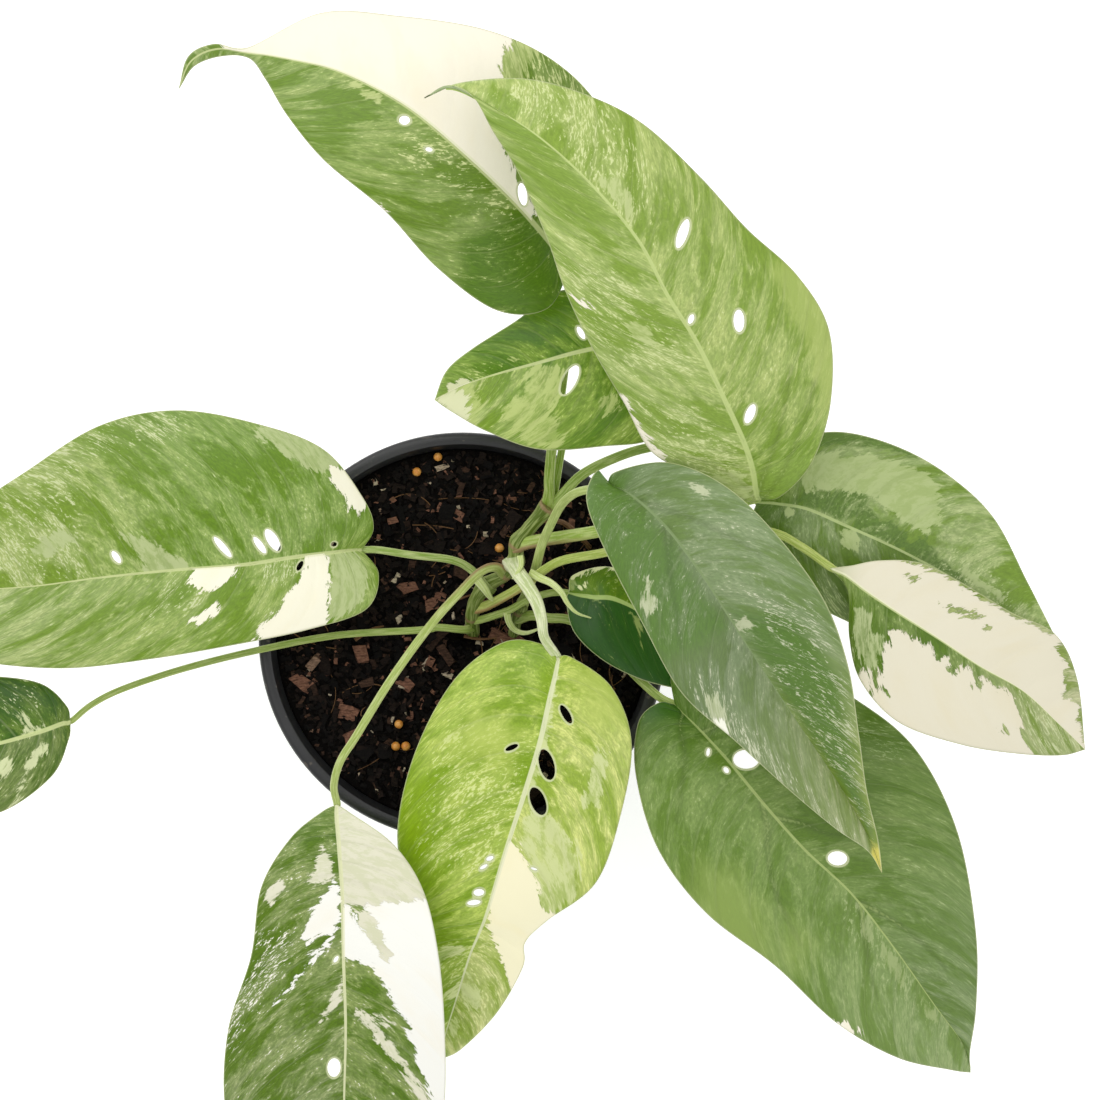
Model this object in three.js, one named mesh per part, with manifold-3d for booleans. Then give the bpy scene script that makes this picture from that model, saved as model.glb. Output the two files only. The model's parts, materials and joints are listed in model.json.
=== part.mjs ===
// Potted epipremnum pinnatum: a variegated climbing aroid in a black nursery pot.
// Millimetres, +Z up, origin at the middle of the pot's base, on the surface it stands on.
// Heights of the plant are given above the pot's rim, and raised by POT_HEIGHT when built.
// Seen from above, +X runs to the right and +Y to the back.

import * as THREE from 'three';
import { mergeVertices } from 'three/addons/utils/BufferGeometryUtils.js';
import Module from 'manifold-3d';

const wasm = await Module();
wasm.setup();

// Pot: a thin tapered wall under a thicker rolled collar.
const POT_HEIGHT = 150;
const RIM_RADIUS = 85;
const RIM_WIDTH = 5.5;
const COLLAR_HEIGHT = 16;
const RIM_ROUND = 2;
const WALL = 2;
const FLOOR = 3;
const BASE_RADIUS = 60;
const POT_SIDES = 48;
const DRAIN_SIDES = 16;
const DRAIN_HOLES = 6;
const DRAIN_RADIUS = 4;
const DRAIN_CIRCLE = 42;

// Soil: fills the pot to just under the rim, with a rough top.
const SOIL_DEPTH_BELOW_RIM = 8;
const SOIL_RINGS = 10;
const SOIL_LUMPS = 46;
const SOIL_SEED = 7;
const LUMP_SIZE = { least: 4, spread: 5 };
const LUMP_HEIGHT = { least: -1, spread: 3 };

// Clearance between pieces that touch.
const CLEARANCE = 0.3;

// Blades, each a sheet with so many rows of vertices per rib and columns each side of the midrib.
const BLADE_THICKNESS = 0.8;
const ROWS_PER_RIB = 2;
const COLUMNS_PER_SIDE = 3;

// Stalks: thinner towards the blade, flared where they leave the stem. Lengths along the stalk
// are shares of it.
const STALK_SIDES = 6;
const STALK_RINGS_PER_SPAN = 2;
const STALK_TAPER = 0.2;
const STALK_FLARE = 0.35;
const FLARE_LENGTH = 0.08;
const SINK_START = 0.7;

// Midribs, under the first share of the blade: the radius is a share of the stalk's at the base.
const RIB_START_SHARE = 0.8;
const RIB_END = 0.6;
const RIB_END_RADIUS = 0.5;
const RIB_INSIDE_BLADE = 0.2;

// Windows in the blades, cut by upright plugs.
const HOLE_CURVE_STEPS = 5;
const HOLE_REACH = 14;

// Stems, shoots and roots.
const WOOD_RINGS_PER_SPAN = 3;
const NODE_LENGTH = 0.04;
const SHEATH_TAPER = 0.7;

// Centre lines of the woody parts, [x, y, height above the rim].
const MAIN_STEM = {
  radius: 2.9,
  sides: 10,
  nodes: [0.42, 0.67, 0.8, 1],
  nodeSwell: 0.4,
  points: [
    [2, -4, -45], [4, 1, -10], [4, 8, 0], [6, 16, 7], [11, 22, 11],
    [18, 26, 15], [22, 31, 18], [23, 38, 21], [28, 45, 26], [36, 54, 32],
  ],
};
const SECOND_SHOOT = {
  radius: 2.3,
  sides: 10,
  nodes: [0.9],
  nodeSwell: 0.25,
  points: [[20, -4, -40], [21, 1, -8], [23, 9, 3], [25, 14, 9]],
};
const AERIAL_ROOT = {
  radius: 1.1,
  sides: 8,
  nodes: [],
  nodeSwell: 0,
  points: [
    [31, 48, 27], [37, 48, 23], [42, 47, 17], [47, 43, 8], [52, 38, -4], [54, 35, -18],
  ],
};

// Each leaf is one piece, stalk and blade.
// stalk: the stalk's centre line, from inside the stem towards the blade.
// ribs: [left margin], [midrib with its height], [right margin], from base to tip.
// rise: how fast each half climbs from the midrib to its margin, at the base and at the tip.
// arch: how far each half bulges up between midrib and margin, as a share of its width.
// wave: height and number of the margin's waves.
// holes: [x, y, length, width, turn in degrees], seen from above.
// clearOf: the leaves that grow from the same node, whose stalks this one keeps clear of.
const LEAVES = {
  leaf_back_left: {
    stalkRadius: 2.2,
    stalk: [
      [35, 52, 29], [36, 59, 36], [36, 65, 42], [37, 76, 52], [39, 89, 61],
      [41, 101, 68], [43, 118, 74], [44, 133, 79], [44, 139, 84],
    ],
    base: [44, 144, 97],
    ribs: [
      [[35, 128], [39, 149, 101], [60, 155]],
      [[16, 127], [33, 156, 108], [67, 176]],
      [[-6, 142], [22, 167, 120], [55, 201]],
      [[-25, 162], [4, 183, 131], [37, 217]],
      [[-47, 180], [-17, 200, 133], [12, 228]],
      [[-61, 197], [-41, 213, 129], [-21, 234]],
      [[-70, 212], [-61, 219, 122], [-49, 236]],
      [[-77, 221], [-77, 223, 113], [-77, 225]],
      [[-89, 223], [-90, 226, 104], [-91, 228]],
      [[-100, 221], [-101, 223, 94], [-102, 225]],
    ],
    tip: [-107, 214, 84],
    rise: { left: [-0.15, -0.1], right: [0.02, 0.05] },
    arch: 0.05,
    wave: [1.2, 3],
    holes: [[-17.4, 194.6, 4, 3.4, 0], [26, 169, 8, 3.4, 100]],
  },
  leaf_back_right: {
    stalkRadius: 2.8,
    stalk: [
      [22, 38, 21], [27, 39, 25], [33, 40, 29], [40, 41, 37],
      [53, 43, 52], [75, 47, 68], [98, 52, 82], [111, 54, 89],
    ],
    base: [116, 55, 92],
    ribs: [
      [[111, 55], [115, 58, 96], [125, 57]],
      [[93, 64], [113, 67, 104], [136, 70]],
      [[75, 73], [109, 77, 113], [142, 92]],
      [[64, 91], [101, 92, 127], [140, 118]],
      [[52, 110], [90, 112, 142], [127, 137]],
      [[42, 130], [79, 128, 153], [108, 153]],
      [[35, 149], [68, 147, 163], [91, 170]],
      [[25, 171], [51, 166, 171], [70, 188]],
      [[16, 185], [33, 182, 174], [50, 198]],
      [[9, 197], [16, 193, 173], [28, 204]],
      [[0, 202], [1, 201, 168], [5, 203]],
    ],
    tip: [-9, 199, 158],
    rise: { left: [-0.15, -0.1], right: [0.05, -0.3] },
    arch: 0.06,
    wave: [1.2, 3],
    holes: [
      [84, 150, 11, 3.8, 70], [105, 119.5, 8, 3.6, 95], [111, 87, 7.5, 3.6, 70],
    ],
  },
  leaf_small_back: {
    stalkRadius: 1.6,
    clearOf: ['leaf_back_left', 'leaf_right_back'],
    stalk: [
      [36, 52, 27], [38, 59, 31], [39, 64, 36], [41, 76, 45],
      [44, 88, 52], [52, 100, 60], [63, 112, 69], [72, 117, 78],
    ],
    base: [77, 118, 82],
    ribs: [
      [[82, 100], [71, 117, 84], [73, 131]],
      [[77, 80], [60, 115, 86], [56, 137]],
      [[56, 76], [46, 112, 87], [37, 135]],
      [[32, 75], [31, 108, 85], [24, 125]],
      [[12, 82], [15, 104, 80], [6, 114]],
      [[-2, 90], [2, 100, 73], [-4, 106]],
    ],
    tip: [-9, 95, 64],
    rise: { left: [-0.05, -0.1], right: [0.02, -0.15] },
    arch: 0.05,
    wave: [0.8, 2],
    holes: [[44, 101.5, 12.3, 5, 63]],
  },
  leaf_middle: {
    stalkRadius: 2,
    stalk: [
      [25, 14, 7], [26, 17, 13], [30, 27, 25], [33, 38, 40], [37, 47, 53],
      [41, 54, 68], [46, 58, 84], [52, 60, 95],
    ],
    base: [58, 61, 100],
    ribs: [
      [[54, 66], [60, 60, 101], [62, 66]],
      [[50, 55], [68, 56, 104], [81, 69]],
      [[57, 36], [81, 44, 104], [101, 61]],
      [[71, 9], [94, 27, 98], [120, 44]],
      [[87, -19], [106, 9, 88], [140, 18]],
      [[108, -38], [120, -12, 76], [151, -8]],
      [[131, -59], [135, -34, 64], [157, -36]],
      [[150, -75], [151, -57, 51], [162, -60]],
      [[164, -85], [164, -79, 38], [168, -80]],
    ],
    tip: [171, -95, 28],
    rise: { left: [0.25, -0.3], right: [0.35, 0.3] },
    arch: 0.05,
    wave: [1, 2],
    holes: [],
  },
  leaf_right_back: {
    stalkRadius: 2.1,
    clearOf: ['leaf_back_left'],
    stalk: [
      [35, 52, 29], [41, 58, 36], [49, 66, 46], [61, 72, 57],
      [74, 76, 65], [91, 78, 70], [106, 71, 73], [114, 61, 74],
    ],
    base: [117, 55, 74],
    ribs: [
      [[120, 67], [124, 54, 76], [115, 46]],
      [[130, 78], [136, 52, 78], [121, 32]],
      [[148, 82], [150, 46, 78], [134, 18]],
      [[170, 77], [168, 38, 77], [157, 6]],
      [[191, 66], [186, 29, 74], [179, -3]],
      [[210, 49], [204, 19, 69], [199, -8]],
      [[224, 24], [221, 9, 63], [220, -9]],
      [[234, 5], [232, 2, 60], [232, -6]],
    ],
    tip: [239, -4, 58],
    rise: { left: [-0.05, -0.15], right: [-0.15, -0.2] },
    arch: 0.05,
    wave: [0.8, 2],
    holes: [],
  },
  leaf_right_front: {
    stalkRadius: 2,
    stalk: [
      [5, 12, 4], [10, 13, 8], [16, 16, 16], [26, 22, 27], [34, 28, 34], [42, 32, 41],
      [58, 35, 53], [78, 40, 65], [99, 44, 75], [121, 43, 83], [133, 37, 86],
    ],
    base: [144, 29, 88],
    ribs: [
      [[152, 30], [150, 26, 90], [151, 20]],
      [[163, 32], [158, 20, 90], [152, 2]],
      [[179, 31], [170, 12, 88], [157, -15]],
      [[196, 23], [186, 2, 84], [172, -31]],
      [[215, 12], [203, -9, 78], [197, -40]],
      [[234, 3], [221, -19, 70], [220, -44]],
      [[244, -15], [236, -32, 62], [238, -45]],
    ],
    tip: [248, -43, 56],
    rise: { left: [-0.05, -0.05], right: [-0.35, -0.2] },
    arch: 0.04,
    wave: [0.8, 2],
    holes: [],
  },
  leaf_small_dark: {
    stalkRadius: 1.7,
    stalk: [[4, 7, -1], [7, 7, 2], [19, 11, 12], [26, 15, 18], [34, 18, 24], [40, 19, 28]],
    base: [44, 19, 30],
    ribs: [
      [[44, 20], [48, 18, 31], [43, 15]],
      [[46, 26], [55, 17, 32], [46, 3]],
      [[61, 29], [63, 16, 32], [57, -8]],
      [[79, 20], [75, 9, 29], [72, -16]],
      [[90, -1], [86, -6, 24], [86, -20]],
    ],
    tip: [93, -21, 19],
    rise: { left: [-0.2, -0.2], right: [0.05, 0.05] },
    arch: 0.05,
    wave: [0.6, 2],
    holes: [],
  },
  leaf_front_right: {
    stalkRadius: 2.1,
    stalk: [
      [23, 8, 2], [29, 9, 8], [36, 8, 11], [45, 7, 14], [57, -1, 18], [73, -17, 23], [81, -24, 26],
    ],
    base: [87, -27, 28],
    ribs: [
      [[86, -13], [91, -31, 29], [80, -26]],
      [[98, -5], [98, -38, 30], [72, -34]],
      [[127, -7], [109, -50, 31], [71, -55]],
      [[161, -25], [123, -67, 29], [80, -85]],
      [[186, -46], [140, -86, 23], [100, -112]],
      [[204, -80], [160, -105, 14], [129, -135]],
      [[213, -122], [179, -129, 3], [155, -160]],
      [[215, -155], [197, -154, -11], [182, -177]],
      [[214, -176], [211, -173, -22], [206, -184]],
    ],
    tip: [215, -186, -28],
    rise: { left: [-0.02, -0.1], right: [0.05, -0.1] },
    arch: 0.05,
    wave: [1, 3],
    holes: [[115.6, -48.6, 10.5, 7.7, 0], [153.6, -89.8, 8.2, 6.1, 170]],
    sheath: {
      radius: 1.5,
      points: [
        [42, 8, 13], [36, 4, 9], [31, 2, 6], [26, 2, 4], [22, 3, 3], [19, 7, 4], [18, 10, 7],
      ],
    },
  },
  leaf_front: {
    stalkRadius: 2.4,
    stalk: [
      [21, 31, 18], [22, 29, 26], [24, 26, 33], [27, 22, 39], [31, 15, 45], [33, 8, 48], [34, 1, 48],
    ],
    base: [39, -7, 45],
    ribs: [
      [[45, -7], [39, -11, 45], [34, -2]],
      [[61, -19], [36, -24, 45], [18, -1]],
      [[69, -41], [32, -42, 42], [-2, -16]],
      [[65, -70], [26, -62, 37], [-18, -45]],
      [[55, -99], [18, -87, 28], [-26, -78]],
      [[35, -116], [11, -111, 17], [-23, -108]],
      [[26, -126], [7, -122, 10], [-20, -120]],
      [[25, -137], [3, -132, 4], [-17, -132]],
      [[14, -158], [-3, -152, -10], [-13, -155]],
      [[-1, -175], [-8, -169, -22], [-12, -171]],
    ],
    tip: [-10, -181, -32],
    rise: { left: [0, -0.2], right: [-0.2, -0.25] },
    arch: 0.06,
    wave: [1, 3],
    holes: [
      [42.7, -29.6, 8.4, 3, 120], [35, -50, 12.8, 6, 105], [31.5, -65, 12, 6, 110],
      [7, -104, 5, 3.4, 10],
    ],
    sheath: {
      radius: 1.5,
      points: [[28, 21, 41], [33, 24, 43], [38, 20, 43], [42, 15, 42], [46, 10, 41], [52, 9, 40]],
    },
  },
  leaf_front_left: {
    stalkRadius: 1.9,
    stalk: [
      [18, 26, 15], [14, 29, 22], [8, 27, 28], [0, 19, 36], [-9, 9, 42], [-19, -4, 46],
      [-30, -20, 46], [-41, -38, 43], [-48, -49, 39], [-51, -59, 34],
    ],
    base: [-50, -67, 30],
    ribs: [
      [[-45, -70], [-50, -72, 30], [-56, -70]],
      [[-27, -83], [-49, -86, 29], [-69, -81]],
      [[-15, -102], [-48, -105, 26], [-81, -101]],
      [[-9, -129], [-48, -132, 19], [-86, -130]],
      [[-7, -161], [-48, -162, 7], [-97, -163]],
      [[-8, -198], [-50, -197, -12], [-100, -200]],
      [[-15, -234], [-51, -233, -34], [-92, -238]],
      [[-31, -268], [-51, -266, -56], [-73, -271]],
    ],
    tip: [-51, -294, -72],
    rise: { left: [0.12, 0.1], right: [0, -0.1] },
    arch: 0.05,
    wave: [1, 3],
    holes: [[-53.5, -179, 9, 5.4, 85]],
  },
  leaf_left: {
    stalkRadius: 1.8,
    stalk: [
      [12, 19, 10], [10, 21, 15], [4, 28, 18], [-4, 32, 22], [-20, 34, 28], [-33, 36, 30],
    ],
    base: [-40, 36, 30],
    ribs: [
      [[-33, 26], [-44, 36, 31], [-35, 45]],
      [[-38, 12], [-52, 35, 34], [-39, 57]],
      [[-61, 4], [-68, 33, 37], [-54, 76]],
      [[-90, -2], [-88, 30, 38], [-79, 86]],
      [[-125, -8], [-114, 28, 36], [-113, 92]],
      [[-162, -12], [-144, 25, 31], [-145, 86]],
      [[-201, -9], [-176, 21, 22], [-178, 67]],
      [[-230, -2], [-211, 19, 10], [-210, 48]],
    ],
    tip: [-261, 16, -10],
    rise: { left: [0.05, -0.15], right: [0.15, 0.05] },
    arch: 0.05,
    wave: [1.2, 3],
    holes: [
      [-95, 37.2, 10.5, 3.2, 130], [-80.2, 38, 8, 3.2, 125], [-75, 40.5, 10, 4.4, 120],
      [-138.6, 33.2, 5.7, 3.2, 125],
    ],
  },
  leaf_small_left: {
    stalkRadius: 1.6,
    stalk: [
      [4, 4, -4], [1, 3, 2], [-10, 4, 6], [-17, 3, 8], [-51, 1, 13], [-83, -5, 12],
      [-115, -13, 5], [-142, -22, -4], [-156, -29, -10],
    ],
    base: [-165, -36, -14],
    ribs: [
      [[-166, -44], [-169, -37, -14], [-167, -29]],
      [[-173, -59], [-177, -40, -14], [-178, -20]],
      [[-194, -74], [-194, -45, -17], [-200, -17]],
      [[-219, -79], [-215, -50, -22], [-226, -17]],
      [[-242, -77], [-238, -55, -28], [-249, -30]],
      [[-262, -70], [-258, -58, -34], [-265, -46]],
    ],
    tip: [-276, -62, -40],
    rise: { left: [0, -0.1], right: [0.05, -0.1] },
    arch: 0.05,
    wave: [0.8, 2],
    holes: [],
  },
};

// Colours and finish of each kind of piece.
const FINISHES = {
  pot: { color: 0x1c1c1f, roughness: 0.5, metalness: 0 },
  soil: { color: 0x17100c, roughness: 0.95, metalness: 0 },
  stem: { color: 0x5d7c3a, roughness: 0.5, metalness: 0 },
  root: { color: 0x6b4630, roughness: 0.8, metalness: 0 },
  leaf: { color: 0x6f9440, roughness: 0.4, metalness: 0 },
};

function solidOf(geometry) {
  const bare = geometry.clone();
  bare.deleteAttribute('normal');
  bare.deleteAttribute('uv');
  const merged = mergeVertices(bare, 1e-4);
  return new wasm.Manifold(new wasm.Mesh({
    numProp: 3,
    vertProperties: new Float32Array(merged.attributes.position.array),
    triVerts: new Uint32Array(merged.index.array),
  }));
}

function geometryOf(solid) {
  const mesh = solid.getMesh();
  const geometry = new THREE.BufferGeometry();
  geometry.setAttribute('position', new THREE.BufferAttribute(mesh.vertProperties, 3));
  geometry.setIndex(new THREE.BufferAttribute(mesh.triVerts, 1));
  geometry.computeVertexNormals();
  return geometry;
}

// Drops the loose scraps that a cut can leave.
function largestBody(solid) {
  const bodies = solid.decompose();
  return bodies.reduce((best, body) => (body.volume() > best.volume() ? body : best));
}

function namedMesh(name, solid, finish) {
  const mesh = new THREE.Mesh(geometryOf(solid), new THREE.MeshStandardMaterial(FINISHES[finish]));
  mesh.name = name;
  return mesh;
}

// A smooth line through points, evenly parametrised from point to point.
function smoothLine(points) {
  const vectors = points.map((p) => new THREE.Vector3(p[0], p[1], p[2]));
  return new THREE.CatmullRomCurve3(vectors, false, 'catmullrom', 0.5);
}

// A round rod along centres, each ring with its own radius. Rings turn as little as they can.
function rodSolid(centres, radii, sides) {
  const positions = [];
  const indices = [];
  const normal = new THREE.Vector3(0, 0, 1);
  centres.forEach((centre, k) => {
    const before = centres[Math.max(k - 1, 0)];
    const after = centres[Math.min(k + 1, centres.length - 1)];
    const tangent = after.clone().sub(before).normalize();
    normal.addScaledVector(tangent, -normal.dot(tangent));
    if (normal.length() < 0.1) {
      normal.set(1, 0, 0).addScaledVector(tangent, -tangent.x);
    }
    normal.normalize();
    const side = tangent.clone().cross(normal);
    for (let i = 0; i < sides; i += 1) {
      const angle = (i / sides) * 2 * Math.PI;
      const point = centre.clone()
        .addScaledVector(normal, radii[k] * Math.cos(angle))
        .addScaledVector(side, radii[k] * Math.sin(angle));
      positions.push(point.x, point.y, point.z);
    }
  });
  for (let k = 0; k < centres.length - 1; k += 1) {
    for (let i = 0; i < sides; i += 1) {
      const a = k * sides + i;
      const b = k * sides + ((i + 1) % sides);
      indices.push(a, b, b + sides, a, b + sides, a + sides);
    }
  }
  const last = (centres.length - 1) * sides;
  for (let i = 1; i < sides - 1; i += 1) {
    indices.push(0, i + 1, i);
    indices.push(last, last + i, last + i + 1);
  }
  const geometry = new THREE.BufferGeometry();
  geometry.setAttribute('position', new THREE.Float32BufferAttribute(positions, 3));
  geometry.setIndex(indices);
  return solidOf(geometry);
}

function lifted(point) {
  return [point[0], point[1], point[2] + POT_HEIGHT];
}

// A stem, shoot or root: a tapering rod with swollen nodes. extra makes it thicker all round.
function woodSolid(wood, extra = 0) {
  const line = smoothLine(wood.points.map(lifted));
  const count = (wood.points.length - 1) * WOOD_RINGS_PER_SPAN;
  const centres = [];
  const radii = [];
  for (let k = 0; k <= count; k += 1) {
    const along = k / count;
    const swell = wood.nodes.reduce((sum, node) => {
      const far = (along - node) / NODE_LENGTH;
      return sum + wood.nodeSwell * Math.exp(-far * far);
    }, 0);
    centres.push(line.getPoint(along));
    radii.push(wood.radius * (1 + swell) + extra);
  }
  if (extra > 0) {
    const tail = centres[count].clone().sub(centres[count - 1]).setLength(extra);
    centres.push(centres[count].clone().add(tail));
    radii.push(radii[count]);
    const head = centres[0].clone().sub(centres[1]).setLength(extra);
    centres.unshift(centres[0].clone().add(head));
    radii.unshift(radii[0]);
  }
  return rodSolid(centres, radii, wood.sides);
}

// The centre line of a whole leaf, and the place on its blade at
// side (-1 left, 1 right), along (0 base to 1 tip) and out (0 midrib to 1 margin).
function leafShape(leaf) {
  const mids = leaf.ribs.map((rib) => rib[1]);
  const centreLine = smoothLine([...leaf.stalk, leaf.base, ...mids, leaf.tip].map(lifted));
  const stalkSpans = leaf.stalk.length;
  const bladeSpans = leaf.ribs.length + 1;
  const spans = stalkSpans + bladeSpans;
  const midAt = (along) => centreLine.getPoint((stalkSpans + along * bladeSpans) / spans);
  const stalkAt = (along) => centreLine.getPoint((along * stalkSpans) / spans);

  const marginLine = (column, rise) => {
    const points = leaf.ribs.map((rib, k) => {
      const along = (k + 1) / bladeSpans;
      const slope = THREE.MathUtils.lerp(rise[0], rise[1], along);
      const width = Math.hypot(rib[column][0] - rib[1][0], rib[column][1] - rib[1][1]);
      return [rib[column][0], rib[column][1], rib[1][2] + slope * width];
    });
    return smoothLine([leaf.base, ...points, leaf.tip].map(lifted));
  };
  const margins = { '-1': marginLine(0, leaf.rise.left), '1': marginLine(2, leaf.rise.right) };

  const placeAt = (side, along, out) => {
    const mid = midAt(along);
    const edge = margins[side].getPoint(along);
    const width = mid.distanceTo(edge);
    const [waveHeight, waveCount] = leaf.wave;
    const place = mid.lerp(edge, out);
    const fade = Math.sin(Math.PI * along);
    place.z += leaf.arch * width * 4 * out * (1 - out);
    place.z += waveHeight * out * out * fade * Math.sin(2 * Math.PI * waveCount * along + side);
    return place;
  };

  // The blade's upward direction on its midrib.
  const upAt = (along) => {
    const here = THREE.MathUtils.clamp(along, 0.04, 0.96);
    const forward = midAt(here + 0.02).sub(midAt(here - 0.02));
    const across = placeAt(-1, here, 0.3).sub(placeAt(1, here, 0.3));
    return forward.cross(across).normalize();
  };
  return { bladeSpans, stalkSpans, stalkAt, midAt, placeAt, upAt };
}

// The blade: one thin sheet, its two faces split into triangles alike.
function bladeSolid(shape) {
  const rows = shape.bladeSpans * ROWS_PER_RIB;
  const across = 2 * COLUMNS_PER_SIDE;
  const places = [];
  for (let row = 0; row <= rows; row += 1) {
    for (let column = 0; column <= across; column += 1) {
      const out = (column - COLUMNS_PER_SIDE) / COLUMNS_PER_SIDE;
      const side = out < 0 ? -1 : 1;
      places.push(shape.placeAt(side, row / rows, Math.abs(out)));
    }
  }
  // The first and last rows are single points, so all their columns share one vertex.
  const indexAt = (row, column) => {
    if (row === 0 || row === rows) {
      return row * (across + 1);
    }
    return row * (across + 1) + column;
  };
  const sheet = [];
  const addTriangle = (list, a, b, c) => {
    if (a !== b && b !== c && c !== a) {
      list.push(a, b, c);
    }
  };
  for (let row = 0; row < rows; row += 1) {
    for (let column = 0; column < across; column += 1) {
      const a = indexAt(row, column);
      const b = indexAt(row, column + 1);
      const c = indexAt(row + 1, column + 1);
      const d = indexAt(row + 1, column);
      addTriangle(sheet, a, c, b);
      addTriangle(sheet, a, d, c);
    }
  }
  const middle = new THREE.BufferGeometry().setFromPoints(places);
  middle.setIndex(sheet);
  middle.computeVertexNormals();
  const normals = middle.attributes.normal;
  const positions = [];
  [BLADE_THICKNESS / 2, -BLADE_THICKNESS / 2].forEach((offset) => {
    places.forEach((place, k) => {
      positions.push(
        place.x + normals.getX(k) * offset,
        place.y + normals.getY(k) * offset,
        place.z + normals.getZ(k) * offset,
      );
    });
  });
  const lower = places.length;
  const indices = [...sheet];
  for (let k = 0; k < sheet.length; k += 3) {
    indices.push(sheet[k] + lower, sheet[k + 2] + lower, sheet[k + 1] + lower);
  }
  for (let row = 0; row < rows; row += 1) {
    const left = [indexAt(row, 0), indexAt(row + 1, 0)];
    const right = [indexAt(row, across), indexAt(row + 1, across)];
    indices.push(left[0], left[0] + lower, left[1] + lower, left[0], left[1] + lower, left[1]);
    indices.push(right[0], right[1] + lower, right[0] + lower, right[0], right[1], right[1] + lower);
  }
  const geometry = new THREE.BufferGeometry();
  geometry.setAttribute('position', new THREE.Float32BufferAttribute(positions, 3));
  geometry.setIndex(indices);
  return solidOf(geometry);
}

// The stalk, which runs on under the blade as its thick midrib and thins out near the tip.
function stalkSolid(leaf, shape, extra = 0) {
  const centres = [];
  const radii = [];
  const stalkRings = shape.stalkSpans * STALK_RINGS_PER_SPAN;
  for (let k = 0; k < stalkRings; k += 1) {
    const along = k / stalkRings;
    const flare = STALK_FLARE * Math.exp(-((along / FLARE_LENGTH) ** 2));
    const taper = 1 - STALK_TAPER * along;
    const radius = leaf.stalkRadius * (taper + flare);
    const sink = THREE.MathUtils.smoothstep(along, SINK_START, 1);
    const centre = shape.stalkAt(along);
    centre.addScaledVector(shape.upAt(0), -sink * (radius - RIB_INSIDE_BLADE));
    centres.push(centre);
    radii.push(radius + extra);
  }
  const rows = shape.bladeSpans * ROWS_PER_RIB;
  const ribStart = leaf.stalkRadius * RIB_START_SHARE;
  for (let row = 0; row <= rows * RIB_END; row += 1) {
    const along = row / rows;
    const radius = THREE.MathUtils.lerp(ribStart, RIB_END_RADIUS, along / RIB_END);
    const centre = shape.midAt(along);
    centre.addScaledVector(shape.upAt(along), RIB_INSIDE_BLADE - radius);
    centres.push(centre);
    radii.push(radius + extra);
  }
  return rodSolid(centres, radii, STALK_SIDES);
}

// The room that a stalk needs where another grows beside it.
function stalkSpace(leaf) {
  return stalkSolid(leaf, leafShape(leaf), CLEARANCE);
}

// The free edge of a stalk's sheath, which has curled away from it.
function sheathSolid(sheath) {
  const rings = (sheath.points.length - 1) * STALK_RINGS_PER_SPAN;
  const line = smoothLine(sheath.points.map(lifted));
  const centres = [];
  const radii = [];
  for (let k = 0; k <= rings; k += 1) {
    centres.push(line.getPoint(k / rings));
    radii.push(sheath.radius * (1 - SHEATH_TAPER * (k / rings)));
  }
  return rodSolid(centres, radii, STALK_SIDES);
}

// An upright oval plug that cuts a window through a blade.
function holePlug(hole, height) {
  const [x, y, length, width, turn] = hole;
  const oval = new THREE.Shape();
  oval.absellipse(0, 0, length / 2, width / 2, 0, 2 * Math.PI, false, 0);
  const plug = new THREE.ExtrudeGeometry(oval, {
    depth: 2 * HOLE_REACH, bevelEnabled: false, curveSegments: HOLE_CURVE_STEPS,
  });
  plug.rotateZ(THREE.MathUtils.degToRad(turn));
  plug.translate(x, y, height - HOLE_REACH);
  return solidOf(plug);
}

// Height of the blade's midrib nearest to a place seen from above.
function heightNear(shape, x, y) {
  const steps = 60;
  let best = shape.midAt(0);
  for (let k = 1; k <= steps; k += 1) {
    const mid = shape.midAt(k / steps);
    if (Math.hypot(mid.x - x, mid.y - y) < Math.hypot(best.x - x, best.y - y)) {
      best = mid;
    }
  }
  return best.z;
}

function leafSolid(leaf, obstacles) {
  const shape = leafShape(leaf);
  let solid = bladeSolid(shape).add(stalkSolid(leaf, shape));
  leaf.holes.forEach((hole) => {
    solid = solid.subtract(holePlug(hole, heightNear(shape, hole[0], hole[1])));
  });
  if (leaf.sheath) {
    solid = solid.add(sheathSolid(leaf.sheath));
  }
  obstacles.forEach((obstacle) => {
    solid = solid.subtract(obstacle);
  });
  return largestBody(solid);
}

function turnedGeometry(profile, sides) {
  const geometry = new THREE.LatheGeometry(profile.map(([r, z]) => new THREE.Vector2(r, z)), sides);
  geometry.rotateX(Math.PI / 2);
  return geometry;
}

// Inner radius of the pot at a height above its base.
function insideRadius(height) {
  const top = RIM_RADIUS - RIM_WIDTH;
  const bottom = BASE_RADIUS - WALL;
  return THREE.MathUtils.mapLinear(height, FLOOR, POT_HEIGHT, bottom, top);
}

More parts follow.
